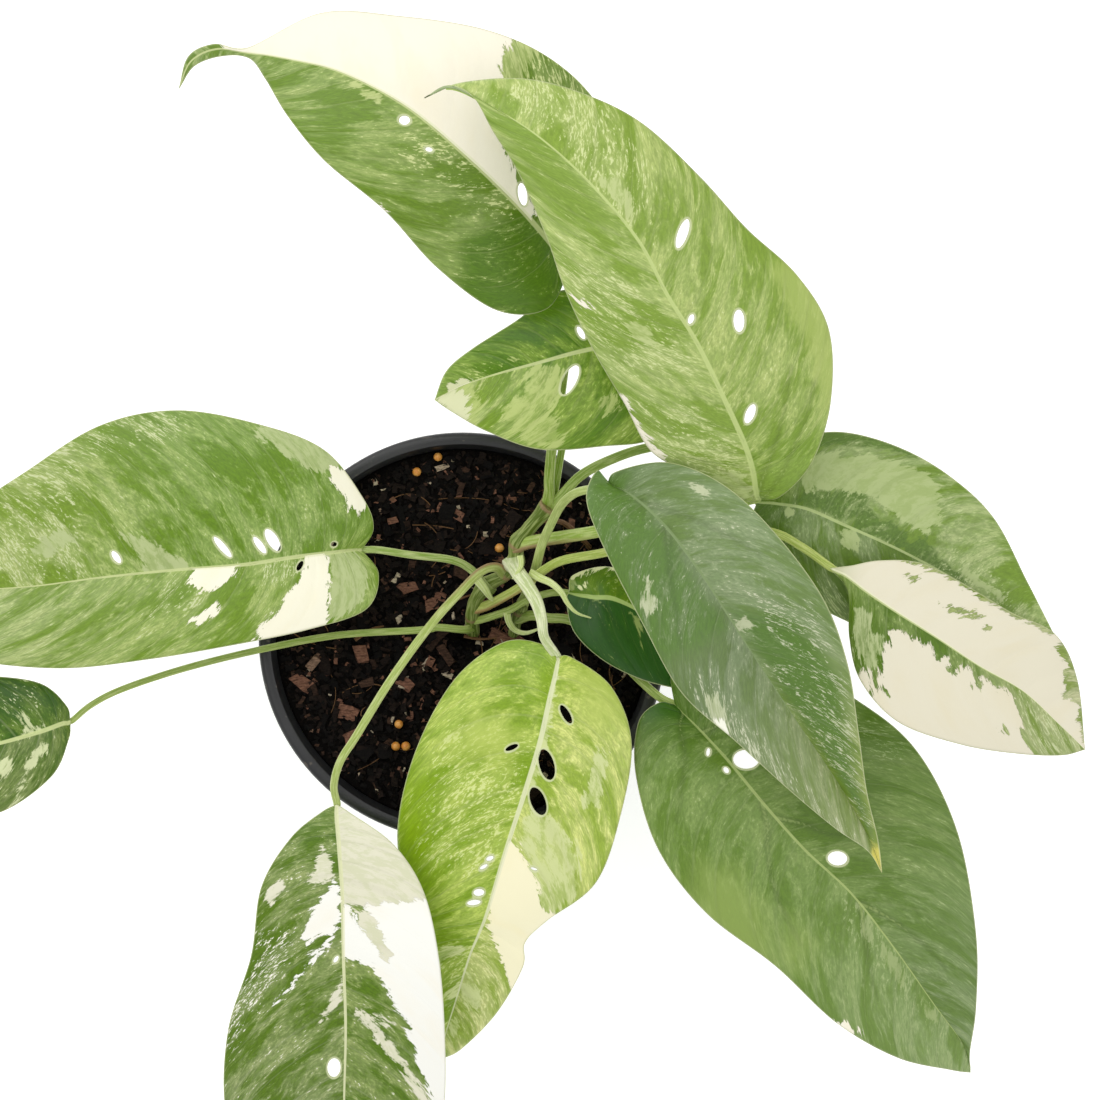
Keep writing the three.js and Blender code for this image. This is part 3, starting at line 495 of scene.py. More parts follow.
PATCHES["leaf_right_front", "left"] = dict(
    cream=[[(0, -30), (0, 120), (100, 120), (100, -30)]],
    gaps=[
        [(76.5, 80), (78, 110), (99, 110), (97, 60), (90, 75), (86, 45), (84, 60), (82, 85)],
        [(34.5, 66), (35, 76), (38.5, 74), (38, 66)], [(33, 95.5), (33, 110), (76, 110), (74, 95)],
        [(47, 50), (50, 60), (56, 72), (57.5, 70), (55, 58), (50, 50)],
        [(58, 57), (58.5, 64), (60, 63), (59.5, 56)],
    ],
)
PATCHES["leaf_right_front", "right"] = dict(
    cream=[
        [(37, 24), (41, 17), (45, 13), (50, 12), (62, 10), (70, 11), (73, 20), (75.5, 45),
            (75.5, 75), (80, 110), (42, 110), (41.5, 75), (39, 45)],
        [(35.5, 85), (38.5, 80), (41, 95), (40, 110), (36, 110)],
    ],
    pale=[
        [(22, 55), (25, 30), (30, 30), (34.5, 55), (36, 70), (32, 90), (27, 85)],
        [(33, 60), (34.5, 40), (37, 35), (39, 60), (38, 85), (35, 85)],
    ],
    flecks=[[(72, 0), (76, 50), (80, 100), (98, 100), (100, 0)]],
    gaps=[
        [(36, 10), (36.5, 25), (38, 25), (38, 10)], [(50, 5), (51.5, 22), (53, 20), (53, 5)],
        [(55, 5), (56, 24), (57.5, 22), (57, 5)], [(61, 5), (62, 27), (63.5, 25), (63, 5)],
        [(66, 5), (67, 20), (68, 20), (68, 5)], [(43.5, 78), (43.5, 83), (45, 83), (45, 78)],
        [(69.5, 67), (69.5, 73), (71, 73), (71, 67)],
    ],
)
PATCHES["leaf_small_dark", "left"] = dict(
    cream=[
        [(28, 110), (30, 90), (36, 80), (40, 88), (47, 92), (52, 95), (52, 110)],
        [(26, 45), (34, 62), (36, 60), (30, 42)],
    ],
    pale=[[(15, 110), (18, 60), (28, 72), (33, 85), (30, 110)]],
    flecks=[[(42, 25), (42, 85), (56, 85), (56, 25)]],
)
PATCHES["leaf_small_dark", "right"] = dict(
    pale=[[(60, 10), (62, 30), (66, 45), (66, 35), (63, 12)]],
    deep=[[(0, -20), (0, 120), (100, 120), (100, -20)]],
)
PATCHES["leaf_front_right", "left"] = dict(flecks=[[(40, 75), (42, 95), (50, 95), (48, 75)]])
PATCHES["leaf_front_right", "right"] = dict(
    lime=[
        [(44, 75), (47, 55), (53, 60), (58, 85), (60, 100), (54, 105), (48, 105)],
        [(57, 55), (61, 60), (62, 95), (59, 90)],
    ],
    pale=[
        [(62, 3), (65.5, 20), (66.5, 15), (64, 2)], [(68, 8), (70, 20), (74, 22), (73, 6)],
        [(77, 8), (80, 22), (83, 15), (80, 5)],
    ],
    cream=[[(70, 95), (73, 93), (73.5, 110), (70, 110)]],
    deep=[[(0, -20), (0, 120), (20, 120), (17, 50), (12, 10), (10, -20)]],
    flecks=[[(60, 5), (62, 30), (85, 30), (85, 5)]],
)
PATCHES["leaf_front", "left"] = dict(
    cream=[[(42, -30), (44, 12), (46.5, 30), (49, 50), (52, 75), (53, 110), (79, 110), (76, 85),
        (70, 50), (66, 38), (60, 12), (54, 3), (48, -30)]],
    pale=[
        [(38, 12), (40, 50), (43, 72), (49, 95), (54, 95), (51, 60), (48, 40), (45, 20), (42, 8)],
        [(28, 60), (29, 75), (36, 75), (37, 60)], [(0, -20), (0, 8), (35, 8), (42, -20)],
        [(76, 5), (79, 45), (83, 55), (82, 25), (80, 5)], [(85, 10), (87, 50), (91, 40), (89, 10)],
    ],
    lime=[[(13, 50), (13, 110), (25, 110), (25, 50)]],
    flecks=[
        [(55, 0), (58, 12), (65, 40), (73, 45), (70, 20), (68, 0)],
        [(70, 0), (72, 30), (76, 80), (84, 105), (100, 50), (100, 0)],
    ],
)
PATCHES["leaf_front", "right"] = dict(
    lime=[[(27, 20), (29, 70), (35, 70), (34, 20)]],
    pale=[
        [(69, 20), (70, 55), (74, 85), (76, 70), (73, 40), (72, 15)],
        [(78, 5), (80, 40), (83, 30), (81, 3)],
    ],
    flecks=[[(68, 0), (68, 60), (88, 60), (88, 0)], [(28, 5), (30, 80), (50, 80), (48, 5)]],
    deep=[
        [(5, -20), (5, 50), (14, 50), (20, 15), (21, -20)],
        [(38, 72), (38, 120), (80, 120), (74, 72)],
    ],
)
PATCHES["leaf_front_left", "left"] = dict(
    cream=[[(35, -30), (35, 110), (72, 110), (66, 90), (60, 72), (54, 60), (50, 45), (45.5, 32),
        (44, 5), (44, -30)]],
    gaps=[[(33.5, 20), (38, 36), (41, 45), (43.5, 53), (44.5, 45), (41, 28), (37.5, 14),
        (33.5, 8)]],
    pale=[
        [(36, 15), (37, 42), (41, 55), (46, 62), (46, 40), (41, 22)],
        [(-2, -30), (-2, 110), (38.5, 110), (39, 85), (37, 68), (36.5, 50), (40.5, 62), (41, 53),
            (36.5, 35), (35, 20), (35, -30)],
        [(52, 12), (53, 30), (54.5, 48), (55, 42), (53.5, 20)],
        [(52, 12), (56, 38), (60, 62), (65.5, 85), (66, 80), (61, 55), (57, 33), (53, 10)],
    ],
)
PATCHES["leaf_front_left", "right"] = dict(
    cream=[
        [(30, 10), (33, 22), (37, 38), (40.5, 48), (42, 40), (40.5, 25), (40, 10), (36.5, 2),
            (33, 2)],
        [(40, 12), (43, 32), (46, 45), (50, 62), (51.5, 65), (49, 52), (45.5, 40), (43.5, 25),
            (41, 10)],
    ],
    pale=[
        [(22, 35), (24, 18), (29, 12), (31, 25), (31.5, 45), (28, 42)],
        [(31, 80), (33, 72), (36, 85), (35, 95)], [(47, 2), (50, 10), (53, 20), (54, 22), (52, 8)],
    ],
    flecks=[[(40, 55), (45, 60), (50, 75), (58, 90), (60, 105), (40, 105)]],
)
PATCHES["leaf_left", "left"] = dict(
    cream=[
        [(23.5, -20), (25.5, 30), (27, 45), (31, 110), (43, 110), (41, 85), (38, 65), (34, 40),
            (31, 17), (28, -20)],
        [(53, -30), (53, 2), (52.5, 15), (51.5, 28), (48.5, 27), (45.5, 13), (42, -30)],
        [(47.5, 42), (49, 50), (51.5, 60), (50, 68), (48, 55)],
    ],
    pale=[[(10, 5), (13, 55), (18, 75), (24, 90), (30, 95), (27.5, 50), (25.5, 30), (23.5, 0)]],
    flecks=[[(50, 10), (50, 50), (57, 50), (57, 10)], [(30, 0), (32, 30), (40, 30), (40, 0)]],
)
PATCHES["leaf_left", "right"] = dict(
    cream=[[(20, 110), (20, 80), (25, 72), (30, 80), (31, 90), (27, 110)]],
    pale=[
        [(70, 30), (75, 22), (77, 28), (77, 35), (73, 40)],
        [(28, 110), (31, 88), (34, 78), (39, 82), (42, 88), (45, 92), (44, 110)],
        [(64, 26), (60, 22), (53.5, 1), (60, -30), (60.5, 8), (63.5, 20)],
    ],
    flecks=[[(55, 80), (55, 110), (75, 110), (75, 80)], [(70, 0), (70, 110), (100, 110), (100, 0)]],
)
PATCHES["leaf_small_left", "left"] = dict(
    pale=[
        [(42, 25), (40, 30), (40, 45), (43, 50), (44, 30)],
        [(27, 25), (27, 45), (31, 50), (36, 65), (39, 95), (41, 100), (39, 80), (34.5, 45),
            (31, 30)],
    ],
)
PATCHES["leaf_small_left", "right"] = dict(
    pale=[[(39, 42), (36, 42), (33, 22), (31, 12), (27.5, 12), (30, 2), (37, 3), (34.5, 12),
        (37, 30)]],
    flecks=[[(30, 55), (30, 80), (40, 80), (40, 55)]],
)
print(sum(len(outlines) for half in PATCHES.values() for outlines in half.values()), "patches")

# %% [markdown]
# ## Strong side veins
#
# On some leaves a few side veins are sunk so far that they show as creases. They are drawn as
# lines in shares of the way along and out, with the right half positive and the left half
# negative.

# %% Creases
STRONG_VEINS = {
    "leaf_front_right": [
        [(.08, .0), (.13, .2), (.185, .33), (.265, .41), (.339, .61), (.375, .75)],
        [(.395, 0), (.442, .125), (.478, .27), (.541, .5), (.6, .68)],
        [(.43, 0), (.471, -.12), (.504, -.19), (.55, -.4)], [(.62, 0), (.66, .2), (.72, .5)],
        [(.2, 0), (.27, -.3), (.36, -.6)], [(.62, 0), (.68, -.25), (.74, -.5)],
    ],
    "leaf_small_dark": [
        [(.06, 0), (.18, .03), (.295, .076), (.412, .322), (.497, .596), (.566, .812)],
        [(.3, 0), (.45, .2), (.6, .5)],
    ],
    "leaf_back_right": [
        [(.01, 0), (.05, .25), (.098, .461), (.184, .582), (.285, .812)],
        [(.03, 0), (.12, .15), (.22, .35), (.32, .6)], [(.03, 0), (.12, -.35), (.22, -.65)],
    ],
    "leaf_middle": [[(.22, 0), (.3, .3), (.42, .7)], [(.3, 0), (.36, -.3), (.46, -.7)]],
}
print(sum(len(lines) for lines in STRONG_VEINS.values()), "creases")

# %% [markdown]
# ## Writing node trees
#
# Blender keeps a finish, and a rule that grows a shape, as a tree of nodes. They can be wired by
# hand in its editor, but written in code the same tree comes out on every run. A small base class
# keeps both kinds readable: each call adds one node, sets it and plugs in what feeds it.


# %% A short way to write nodes
class NodeWriter:
    """Writes a node tree. Small words set a node, capital ones feed the input of that name."""

    def node(self, kind, *values, **words):
        node = self.tree.nodes.new(kind)
        for word, value in words.items():
            if word.islower():
                setattr(node, word, value)
        for socket, value in zip(node.inputs, values):
            self.feed(socket, value)
        for word, value in words.items():
            if not word.islower():
                self.feed(node.inputs[word.replace("_", " ")], value)
        return node

    def feed(self, socket, value):
        """Plugs in a socket, or the first output of a node, or sets a plain value."""
        if isinstance(value, bpy.types.Node):
            value = value.outputs[0]
        if isinstance(value, bpy.types.NodeSocket):
            self.tree.links.new(value, socket)
        elif value is not None:
            socket.default_value = value


class Growth(NodeWriter):
    """A rule that grows a shape, with named inputs."""

    def __init__(self, name, **inputs):
        self.tree = bpy.data.node_groups.new(name, "GeometryNodeTree")
        add_socket = self.tree.interface.new_socket
        self.identifiers = {}
        for word, kind in inputs.items():
            label = word.replace("_", " ")
            socket = add_socket(name=label, in_out="INPUT", socket_type="NodeSocket" + kind)
            self.identifiers[word] = socket.identifier
        add_socket(name="Grown", in_out="OUTPUT", socket_type="NodeSocketGeometry")
        self.given = self.node("NodeGroupInput").outputs

    def close(self, shape):
        """Ends the rule: what has grown is made real and gets its finish."""
        real = self.node("GeometryNodeRealizeInstances", shape)
        skin = self.given["Skin"]
        dressed = self.node("GeometryNodeSetMaterial", Geometry=real, Material=skin)
        self.node("NodeGroupOutput", dressed)
        return self


def grown(piece, rule, **inputs):
    """Runs a growth rule on a piece and keeps the result as plain mesh."""
    growing = piece.modifiers.new("grow", "NODES")
    growing.node_group = rule.tree
    for word, value in inputs.items():
        growing[rule.identifiers[word]] = value
    return settle(piece)


print("node writer ready")

# %% [markdown]
# ## Writing finishes
#
# All finishes are painted with procedural nodes. Colours are written as they look in the photo,
# in linear light. `pigment` turns a look into a surface colour: it takes off the veil of gloss
# and divides by the light that falls there, so a leaf in another's shade is given as much less
# light.

# %% A recipe for a finish
FULL_LIGHT = 1.09
GLOSS_VEIL = 0.025
DARKEST, PALEST = 0.002, 0.85


def pigment(red, green, blue, light=FULL_LIGHT):
    shades = ((v - GLOSS_VEIL) / light for v in (red, green, blue))
    return tuple(min(PALEST, max(DARKEST, shade)) for shade in shades) + (1,)


def tinted(colour, red, green, blue):
    return colour[0] * red, colour[1] * green, colour[2] * blue


class Recipe(NodeWriter):
    """One material, written step by step."""

    def __init__(self, name):
        self.material = bpy.data.materials.new(name)
        self.material.use_nodes = True
        self.tree = self.material.node_tree
        self.tree.nodes.clear()

    def math(self, operation, a, b=None):
        return self.node("ShaderNodeMath", a, b, operation=operation).outputs[0]

    def times(self, a, b):
        return self.math("MULTIPLY", a, b)

    def swing(self, noise, strength):
        """A noise about 0.5 as a swing about 0."""
        return self.times(self.math("SUBTRACT", noise, 0.5), strength)

    def total(self, first, *others):
        for other in others:
            first = self.math("ADD", first, other)
        return first

    def step(self, value, low, high, at_low=0.0, at_high=1.0):
        """Goes gently from one level to another while the value goes from low to high."""
        limits = (low, high, at_low, at_high)
        kind = "SMOOTHSTEP"
        return self.node("ShaderNodeMapRange", value, *limits, interpolation_type=kind).outputs[0]

    def blend(self, share, first, second, at=6, **words):
        """Mixes two values; `at` is where the node keeps the first input of their kind."""
        node = self.node("ShaderNodeMix", share, **words)
        self.feed(node.inputs[at], first)
        self.feed(node.inputs[at + 1], second)
        return node.outputs

    def mix(self, share, first, second):
        return self.blend(share, first, second, data_type="RGBA")[2]

    def choose(self, share, first, second):
        return self.blend(share, first, second, at=4, data_type="VECTOR")[1]

    def shade(self, colour, level):
        """Multiplies a colour by a grey level."""
        grey = self.node("ShaderNodeCombineColor", level, level, level).outputs[0]
        return self.blend(1.0, colour, grey, data_type="RGBA", blend_type="MULTIPLY")[2]

    def read(self, name):
        return self.node("ShaderNodeAttribute", attribute_name=name).outputs["Vector"]

    def read_number(self, name):
        return self.node("ShaderNodeAttribute", attribute_name=name).outputs["Fac"]

    def split(self, vector):
        return self.node("ShaderNodeSeparateXYZ", vector).outputs[:]

    def gather(self, x, y, z):
        return self.node("ShaderNodeCombineXYZ", x, y, z).outputs[0]

    def stretched(self, vector, x, y, z):
        stretch = (x, y, z)
        return self.node("ShaderNodeVectorMath", vector, stretch, operation="MULTIPLY").outputs[0]

    def noise(self, place, scale, detail=2.0, roughness=0.5, twist=0.0):
        words = dict(Scale=scale, Detail=detail, Roughness=roughness, Distortion=twist)
        return self.node("ShaderNodeTexNoise", Vector=place, **words).outputs[0]

    def object_place(self):
        return self.node("ShaderNodeTexCoord").outputs["Object"]

    def finish(self, colour, roughness, height=None, relief=0.0002, **constants):
        """Closes the recipe: the surface, its gloss and its fine relief in metres."""
        words = dict(Base_Color=colour, Roughness=roughness, **constants)
        surface = self.node("ShaderNodeBsdfPrincipled", **words)
        if height is not None:
            bump = self.node("ShaderNodeBump", Height=height, Strength=1.0, Distance=relief)
            self.feed(surface.inputs["Normal"], bump)
        self.node("ShaderNodeOutputMaterial", surface)
        return self.material


print("recipes ready; full white is painted", [round(v, 2) for v in pigment(1, 1, 1)])

# %% [markdown]
# ## The colours of each leaf
#
# No two leaves are the same green: young ones are lime, old and shaded ones deep. Each half is
# given its green at the base, middle and tip, and what is special to a leaf is written beside
# them. All else, such as how crisp a patch's edge is in mm, comes from the usual values at the
# end.

# %% Colours of each leaf
GREENS = {}
GREENS["leaf_back_left"] = dict(
    left=((.14, .24, .035), (.255, .355, .1), (.254, .347, .114)),
    right=((.16, .26, .05), (.24, .34, .09), (.25, .34, .11)), deep=(.107, .205, .021),
    pale=(.52, .59, .24), contrast=1.0, flecks=1.0,
)
GREENS["leaf_back_right"] = dict(
    left=((.4, .49, .165), (.375, .483, .155), (.32, .43, .125)),
    right=((.25, .37, .075), (.355, .46, .138), (.39, .495, .15)), deep=(.246, .366, .072),
    lime=(.43, .53, .15), pale=(.54, .62, .27), contrast=.9, flecks=.9, rib=(.56, .66, .26),
    deep_edge=3.0,
)
GREENS["leaf_small_back"] = dict(
    left=((.18, .3, .045), (.215, .325, .058), (.4, .48, .18)),
    right=((.15, .26, .03), (.17, .28, .042), (.21, .32, .065)), deep=(.13, .25, .02),
    cream=(.66, .68, .42), pale=(.46, .54, .19), contrast=1.2, light=1.03,
)
# The left half's middle and tip greens are greyed: the leaf's dark green with painted sheen, the
# grey reflection of the lamps on its gloss, mixed in.
GREENS["leaf_middle"] = dict(
    left=((.105, .19, .045), (.178, .24, .115), (.27, .33, .14)),
    right=((.115, .18, .065), (.215, .29, .135), (.29, .36, .1)), deep=(.1, .19, .035),
    pale=(.5, .54, .34), light=1.0, contrast=.75, flecks=.75, streaks=.2, gloss=.5,
    rib=(.22, .3, .13), rib_width=.7, veins=.08, lime=(.64, .58, .12), lime_strength=1.0,
    deep_edge=4.0,
)
GREENS["leaf_right_back"] = dict(
    left=((.116, .19, .032), (.255, .33, .13), (.275, .36, .13)),
    right=((.13, .195, .065), (.2, .27, .11), (.26, .34, .13)), deep=(.11, .18, .045),
    pale=(.38, .45, .205), light=.93, deep_edge=.6, contrast=1.0, streaks=.12, rib_width=.65,
    rib=(.42, .5, .22),
)
GREENS["leaf_right_front"] = dict(
    left=((.4, .45, .22), (.3, .37, .13), (.4, .45, .22)),
    right=((.23, .32, .095), (.17, .255, .065), (.36, .43, .18)), deep=(.2, .28, .08),
    cream=(.8, .755, .59), pale=(.47, .54, .27), light=1.12, rib_width=.6,
)
GREENS["leaf_small_dark"] = dict(
    left=((.1, .17, .02), (.11, .19, .022), (.07, .13, .03)),
    right=((.045, .1, .015), (.045, .1, .013), (.05, .1, .019)), deep=(.038, .09, .01),
    pale=(.24, .3, .1), cream=(.62, .64, .36), light=.85, contrast=.7, flecks=.6,
    rib=(.36, .46, .16), rib_width=1.3, veins=.04,
)
GREENS["leaf_front_right"] = dict(
    left=((.122, .205, .044), (.165, .253, .065), (.205, .285, .12)),
    right=((.078, .159, .019), (.19, .283, .08), (.245, .335, .13)), deep=(.06, .14, .012),
    lime=(.34, .44, .13), pale=(.34, .42, .18), light=1.07, contrast=.75, flecks=.55,
    rib=(.4, .49, .18), rib_width=.75, lime_edge=8.0, lime_strength=.6, deep_edge=7.0,
)
GREENS["leaf_front"] = dict(
    left=((.434, .546, .105), (.5, .59, .17), (.5, .57, .2)),
    right=((.356, .479, .098), (.371, .497, .095), (.33, .45, .08)), deep=(.24, .38, .025),
    lime=(.5, .6, .14), pale=(.64, .7, .33), cream=(.955, .905, .63), contrast=1.0, flecks=.5,
    rib=(.74, .77, .48), rib_width=1.1, streaks=.55, lime_edge=6.0, deep_edge=6.0,
)
GREENS["leaf_front_left"] = dict(
    left=((.22, .3, .09), (.22, .3, .09), (.22, .3, .09)),
    right=((.178, .262, .068), (.225, .3, .1), (.225, .295, .12)), deep=(.17, .24, .07),
    pale=(.79, .77, .6), cream=(.975, .95, .88), rib=(.74, .76, .46), rib_width=.9, streaks=.03,
    contrast=1.3, flecks=1.0, veins=.07,
)
GREENS["leaf_left"] = dict(
    left=((.3, .39, .12), (.283, .386, .107), (.32, .41, .15)),
    right=((.235, .342, .071), (.24, .35, .093), (.36, .45, .15)), deep=(.18, .28, .06),
    pale=(.47, .54, .26), cream=(.93, .9, .72), contrast=1.05, flecks=1.0, streaks=.25,
)
GREENS["leaf_small_left"] = dict(
    left=((.12, .183, .034), (.16, .22, .07), (.14, .2, .06)),
    right=((.12, .185, .04), (.112, .188, .038), (.14, .2, .06)), deep=(.1, .16, .04),
    pale=(.6, .64, .37), contrast=1.3, flecks=1.0, light=.97, streaks=.3,
)
USUAL = dict(
    cream=(.95, .9, .74), pale=(.42, .5, .2), lime=(.44, .53, .17), light=FULL_LIGHT, contrast=1.0,
    flecks=.85, gloss=.3, rib=(.58, .64, .3), rib_width=1.0, veins=.14, streaks=.5, pale_edge=.6,
    lime_edge=3.0, lime_strength=.7, deep_edge=3.0,
)
print("colours for", len(GREENS), "leaves")

# %% [markdown]
# ## The finish of a leaf
#
# A real blade is semi-gloss, with a pale midrib, fine side veins and a thin pale margin. Its
# patches are crisp where they meet the midrib and frayed where they cross the flesh, always along
# the side veins. So every noise here is laid out in vein coordinates: how far from the midrib,
# and how far along the leaf the side vein starts. Three noises do it: clouds, mottle and bits,
# from coarse to fine.

# %% Greens of a blade
CLOUDS_PER_MM = (0.04, 0.085, 0.0)
MOTTLE_PER_MM = (0.13, 0.30, 0.0)
BITS_PER_MM = (0.55, 1.3, 0.0)
PORES_PER_MM = (1.6, 1.6, 0.0)
FRAY_BY_MOTTLE, FRAY_BY_BITS = 12.0, 3.5
FLECK_SOFTNESS, FLECK_SOWN = 4.0, 0.11
PATCH_SOFTNESS = 0.3


class BladeRecipe(Recipe):
    """The recipe of one blade, with its noises, its patches and its place on the veins."""

    def __init__(self, name):
        super().__init__(name + "_upper_side")
        self.tones = {**USUAL, **GREENS[name]}
        self.place = self.read("vein_place")
        self.out, self.vein, self.along = self.split(self.place)
        self.right = self.math("GREATER_THAN", self.out, 0.0)
        self.cream, self.pale, self.lime = self.split(self.half("marks"))
        self.deep, self.flecked, self.gap = self.split(self.half("tone"))
        self.crease, self.margin, self.window = self.split(self.read("lines"))
        self.clouds = self.noise(self.stretched(self.place, *CLOUDS_PER_MM), 1.0, 3.0, 0.55, 0.3)
        self.mottle = self.noise(self.stretched(self.place, *MOTTLE_PER_MM), 1.0, 6.0, 0.68, 0.5)
        self.bits = self.noise(self.stretched(self.place, *BITS_PER_MM), 1.0, 4.0, 0.65, 0.5)
        coarse = self.swing(self.mottle, FRAY_BY_MOTTLE)
        self.fray = self.total(coarse, self.swing(self.bits, FRAY_BY_BITS))
        self.drift = self.swing(self.clouds, 0.6)
        self.level = self.total(self.mottle, self.drift, self.swing(self.bits, 0.4))

    def half(self, kind):
        return self.choose(self.right, self.read(kind + "_left"), self.read(kind + "_right"))

    def paint(self, *colour):
        return pigment(*colour, self.tones["light"])

    def patch(self, distance, softness=PATCH_SOFTNESS):
        return self.step(self.math("ADD", distance, self.fray), -softness, softness)

    def greens(self, scale):
        """The greens from base to tip of each half, made darker or brighter by a scale."""
        sides = []
        for half in ("left", "right"):
            base, middle, tip = (self.paint(*tinted(tone, *scale)) for tone in self.tones[half])
            green = self.mix(self.step(self.along, 0.06, 0.32), base, middle)
            sides.append(self.mix(self.step(self.along, 0.5, 0.85), green, tip))
        return self.mix(self.right, *sides)

    def flesh(self):
        """Shady, plain and bright greens, with the deep patches over them."""
        play = self.tones["contrast"]
        shady = self.greens((1 - .38 * play, 1 - .27 * play, 1 - .62 * play))
        plain = self.greens((1, 1, 1))
        bright = self.greens((1 + .42 * play, 1 + .28 * play, 1 + .5 * play))
        lit = self.total(self.clouds, self.times(self.mottle, 0.5))
        colour = self.mix(self.step(lit, 0.62, 0.82), shady, plain)
        colour = self.mix(self.step(self.level, 0.48, 0.68, 0.0, 0.85), colour, bright)
        even = self.step(self.level, 0.66, 0.5, 0.5, 0.9)
        deep_share = self.times(self.patch(self.deep, self.tones["deep_edge"]), even)
        colour = self.mix(deep_share, colour, self.paint(*self.tones["deep"]))
        return self.shade(colour, self.step(self.bits, 0.3, 0.7, 1 - .15 * play, 1 + .15 * play))


print("noises are laid along the veins, patches fray by up to", FRAY_BY_MOTTLE / 2, "mm")

# %% [markdown]
# ## Patches, veins and relief of a blade
#
# Flecks, pale streaks, lime and cream lie over the flesh in that order, because in a real leaf
# the cells without green cover the others. Veins come after the green and before the cream, where
# they hardly show: pale lines, with a band of painted shade along each side vein and each crease.
# The midrib, the margin and the rims of the windows are painted last.

# %% Finish of a blade
# The first tint warms the cream at random; the second darkens and greys it towards the leaf's base,
# as painted shade.
WARM_TINT, BASE_SHADE_TINT = (.98, .95, .86), (.76, .8, .68)
# Widths in mm: the pale side-vein line, the band of painted shade beside a crease, and the pale
# line in a crease.
VEIN_WIDTH, CREASE_SHADE_WIDTH, CREASE_LINE_WIDTH = 0.5, 2.8, 0.9
RIB_WIDTH_AT_BASE, RIB_WIDTH_AT_TIP = 1.25, 0.32
CREAM_RIB, MARGIN_TONE, WINDOW_TONE = (.84, .84, .58), (.62, .66, .36), (.66, .70, .42)
BLADE_RELIEF = 0.00018


def variegation(blade, colour):
    """Lays the flecks, pale streaks and lime over the flesh, and mixes the cream for later, with
    painted shade towards the leaf's base.
    """
    tones, paint = blade.tones, blade.paint
    sown = blade.times(blade.patch(blade.flecked, FLECK_SOFTNESS), FLECK_SOWN)
    half_drift, fine = blade.times(blade.drift, 0.5), blade.swing(blade.mottle, 0.5)
    speckle = blade.total(blade.bits, half_drift, fine, sown)
    flecks = blade.step(speckle, 0.66, 0.72, 0.0, tones["flecks"])
    colour = blade.mix(flecks, colour, paint(*tinted(tones["pale"], 1.25, 1.2, 1.35)))
    dull_pale = paint(*tinted(tones["pale"], .9, .93, .84))
    pale_tone = blade.mix(blade.step(blade.level, 0.42, 0.56), dull_pale, paint(*tones["pale"]))
    torn = blade.total(blade.mottle, blade.times(blade.bits, 0.35))
    streaks = blade.step(torn, 0.58, 0.74, 1 - tones["streaks"], 0.97)
    pale_share = blade.times(blade.patch(blade.pale, tones["pale_edge"]), streaks)
    colour = blade.mix(pale_share, colour, pale_tone)
    lime_share = blade.times(blade.patch(blade.lime, tones["lime_edge"]), tones["lime_strength"])
    colour = blade.mix(lime_share, colour, paint(*tones["lime"]))
    outside_gaps = blade.math("SUBTRACT", 1.0, blade.patch(blade.gap))
    open_cream = blade.times(blade.patch(blade.cream), outside_gaps)
    warm, dark = (paint(*tinted(tones["cream"], *tint)) for tint in (WARM_TINT, BASE_SHADE_TINT))
    cloudy = blade.step(blade.clouds, 0.45, 0.75, 0.0, 0.5)
    cream_tone = blade.mix(cloudy, paint(*tones["cream"]), warm)
    # Towards the leaf's base the cream turns darker and greyer: painted shade.
    return colour, open_cream, blade.mix(blade.step(blade.along, 0.24, 0.02), cream_tone, dark)


def blade_finish(name, vein_spacing):
    blade = BladeRecipe(name)
    tones, paint = blade.tones, blade.paint
    colour, open_cream, cream_tone = variegation(blade, blade.flesh())
    veins_passed = blade.math("DIVIDE", blade.vein, vein_spacing)
    turn = blade.math("FRACT", blade.math("ADD", veins_passed, 0.5))
    side_vein = blade.times(blade.math("ABSOLUTE", blade.math("SUBTRACT", turn, 0.5)), vein_spacing)
    inner = blade.step(blade.margin, 2.0, 9.0)
    vein_line = blade.times(blade.step(side_vein, VEIN_WIDTH, 0.1), inner)
    colour = blade.mix(blade.times(vein_line, tones["veins"]), colour, paint(*tones["pale"]))
    # A band along each side vein is darkened a little: painted shade of the sunken vein.
    colour = blade.shade(colour, blade.step(side_vein, 0.2, 2.0, 0.95, 1.0))
    # A band beside each crease is darkened: painted shade of the crease.
    colour = blade.shade(colour, blade.step(blade.crease, 0.3, CREASE_SHADE_WIDTH, 0.80, 1.0))
    crease_line = blade.step(blade.crease, CREASE_LINE_WIDTH, 0.4, 0.0, 0.4)
    colour = blade.mix(crease_line, colour, paint(*tones["rib"]))
    colour = blade.mix(open_cream, colour, cream_tone)
    widths = (RIB_WIDTH_AT_BASE * tones["rib_width"], RIB_WIDTH_AT_TIP * tones["rib_width"])
    rib_width = blade.step(blade.along, 0.0, 1.0, *widths)
    rib_reach = blade.math("DIVIDE", blade.math("ABSOLUTE", blade.out), rib_width)
    rib_colour = blade.mix(open_cream, paint(*tones["rib"]), paint(*CREAM_RIB))
    colour = blade.mix(blade.times(blade.step(rib_reach, 1.1, 0.7), 0.9), colour, rib_colour)
    colour = blade.mix(blade.step(blade.margin, 0.5, 0.15, 0.0, 0.6), colour, paint(*MARGIN_TONE))
    colour = blade.mix(blade.step(blade.window, 0.9, 0.35, 0.0, 0.8), colour, paint(*WINDOW_TONE))
    pores = blade.noise(blade.stretched(blade.place, *PORES_PER_MM), 1.0, 2.0)
    roughness = blade.step(blade.clouds, 0.3, 0.7, 0.34, 0.46)
    vein_depth = blade.math("SUBTRACT", 3.5 * tones["veins"], blade.times(open_cream, 0.4))
    swelling = blade.times(blade.step(side_vein, 0.0, 1.2), vein_depth)
    height = blade.total(swelling, blade.times(blade.bits, 0.3), blade.times(pores, 0.15))
    return blade.finish(colour, roughness, height, BLADE_RELIEF, Specular_IOR_Level=tones["gloss"])


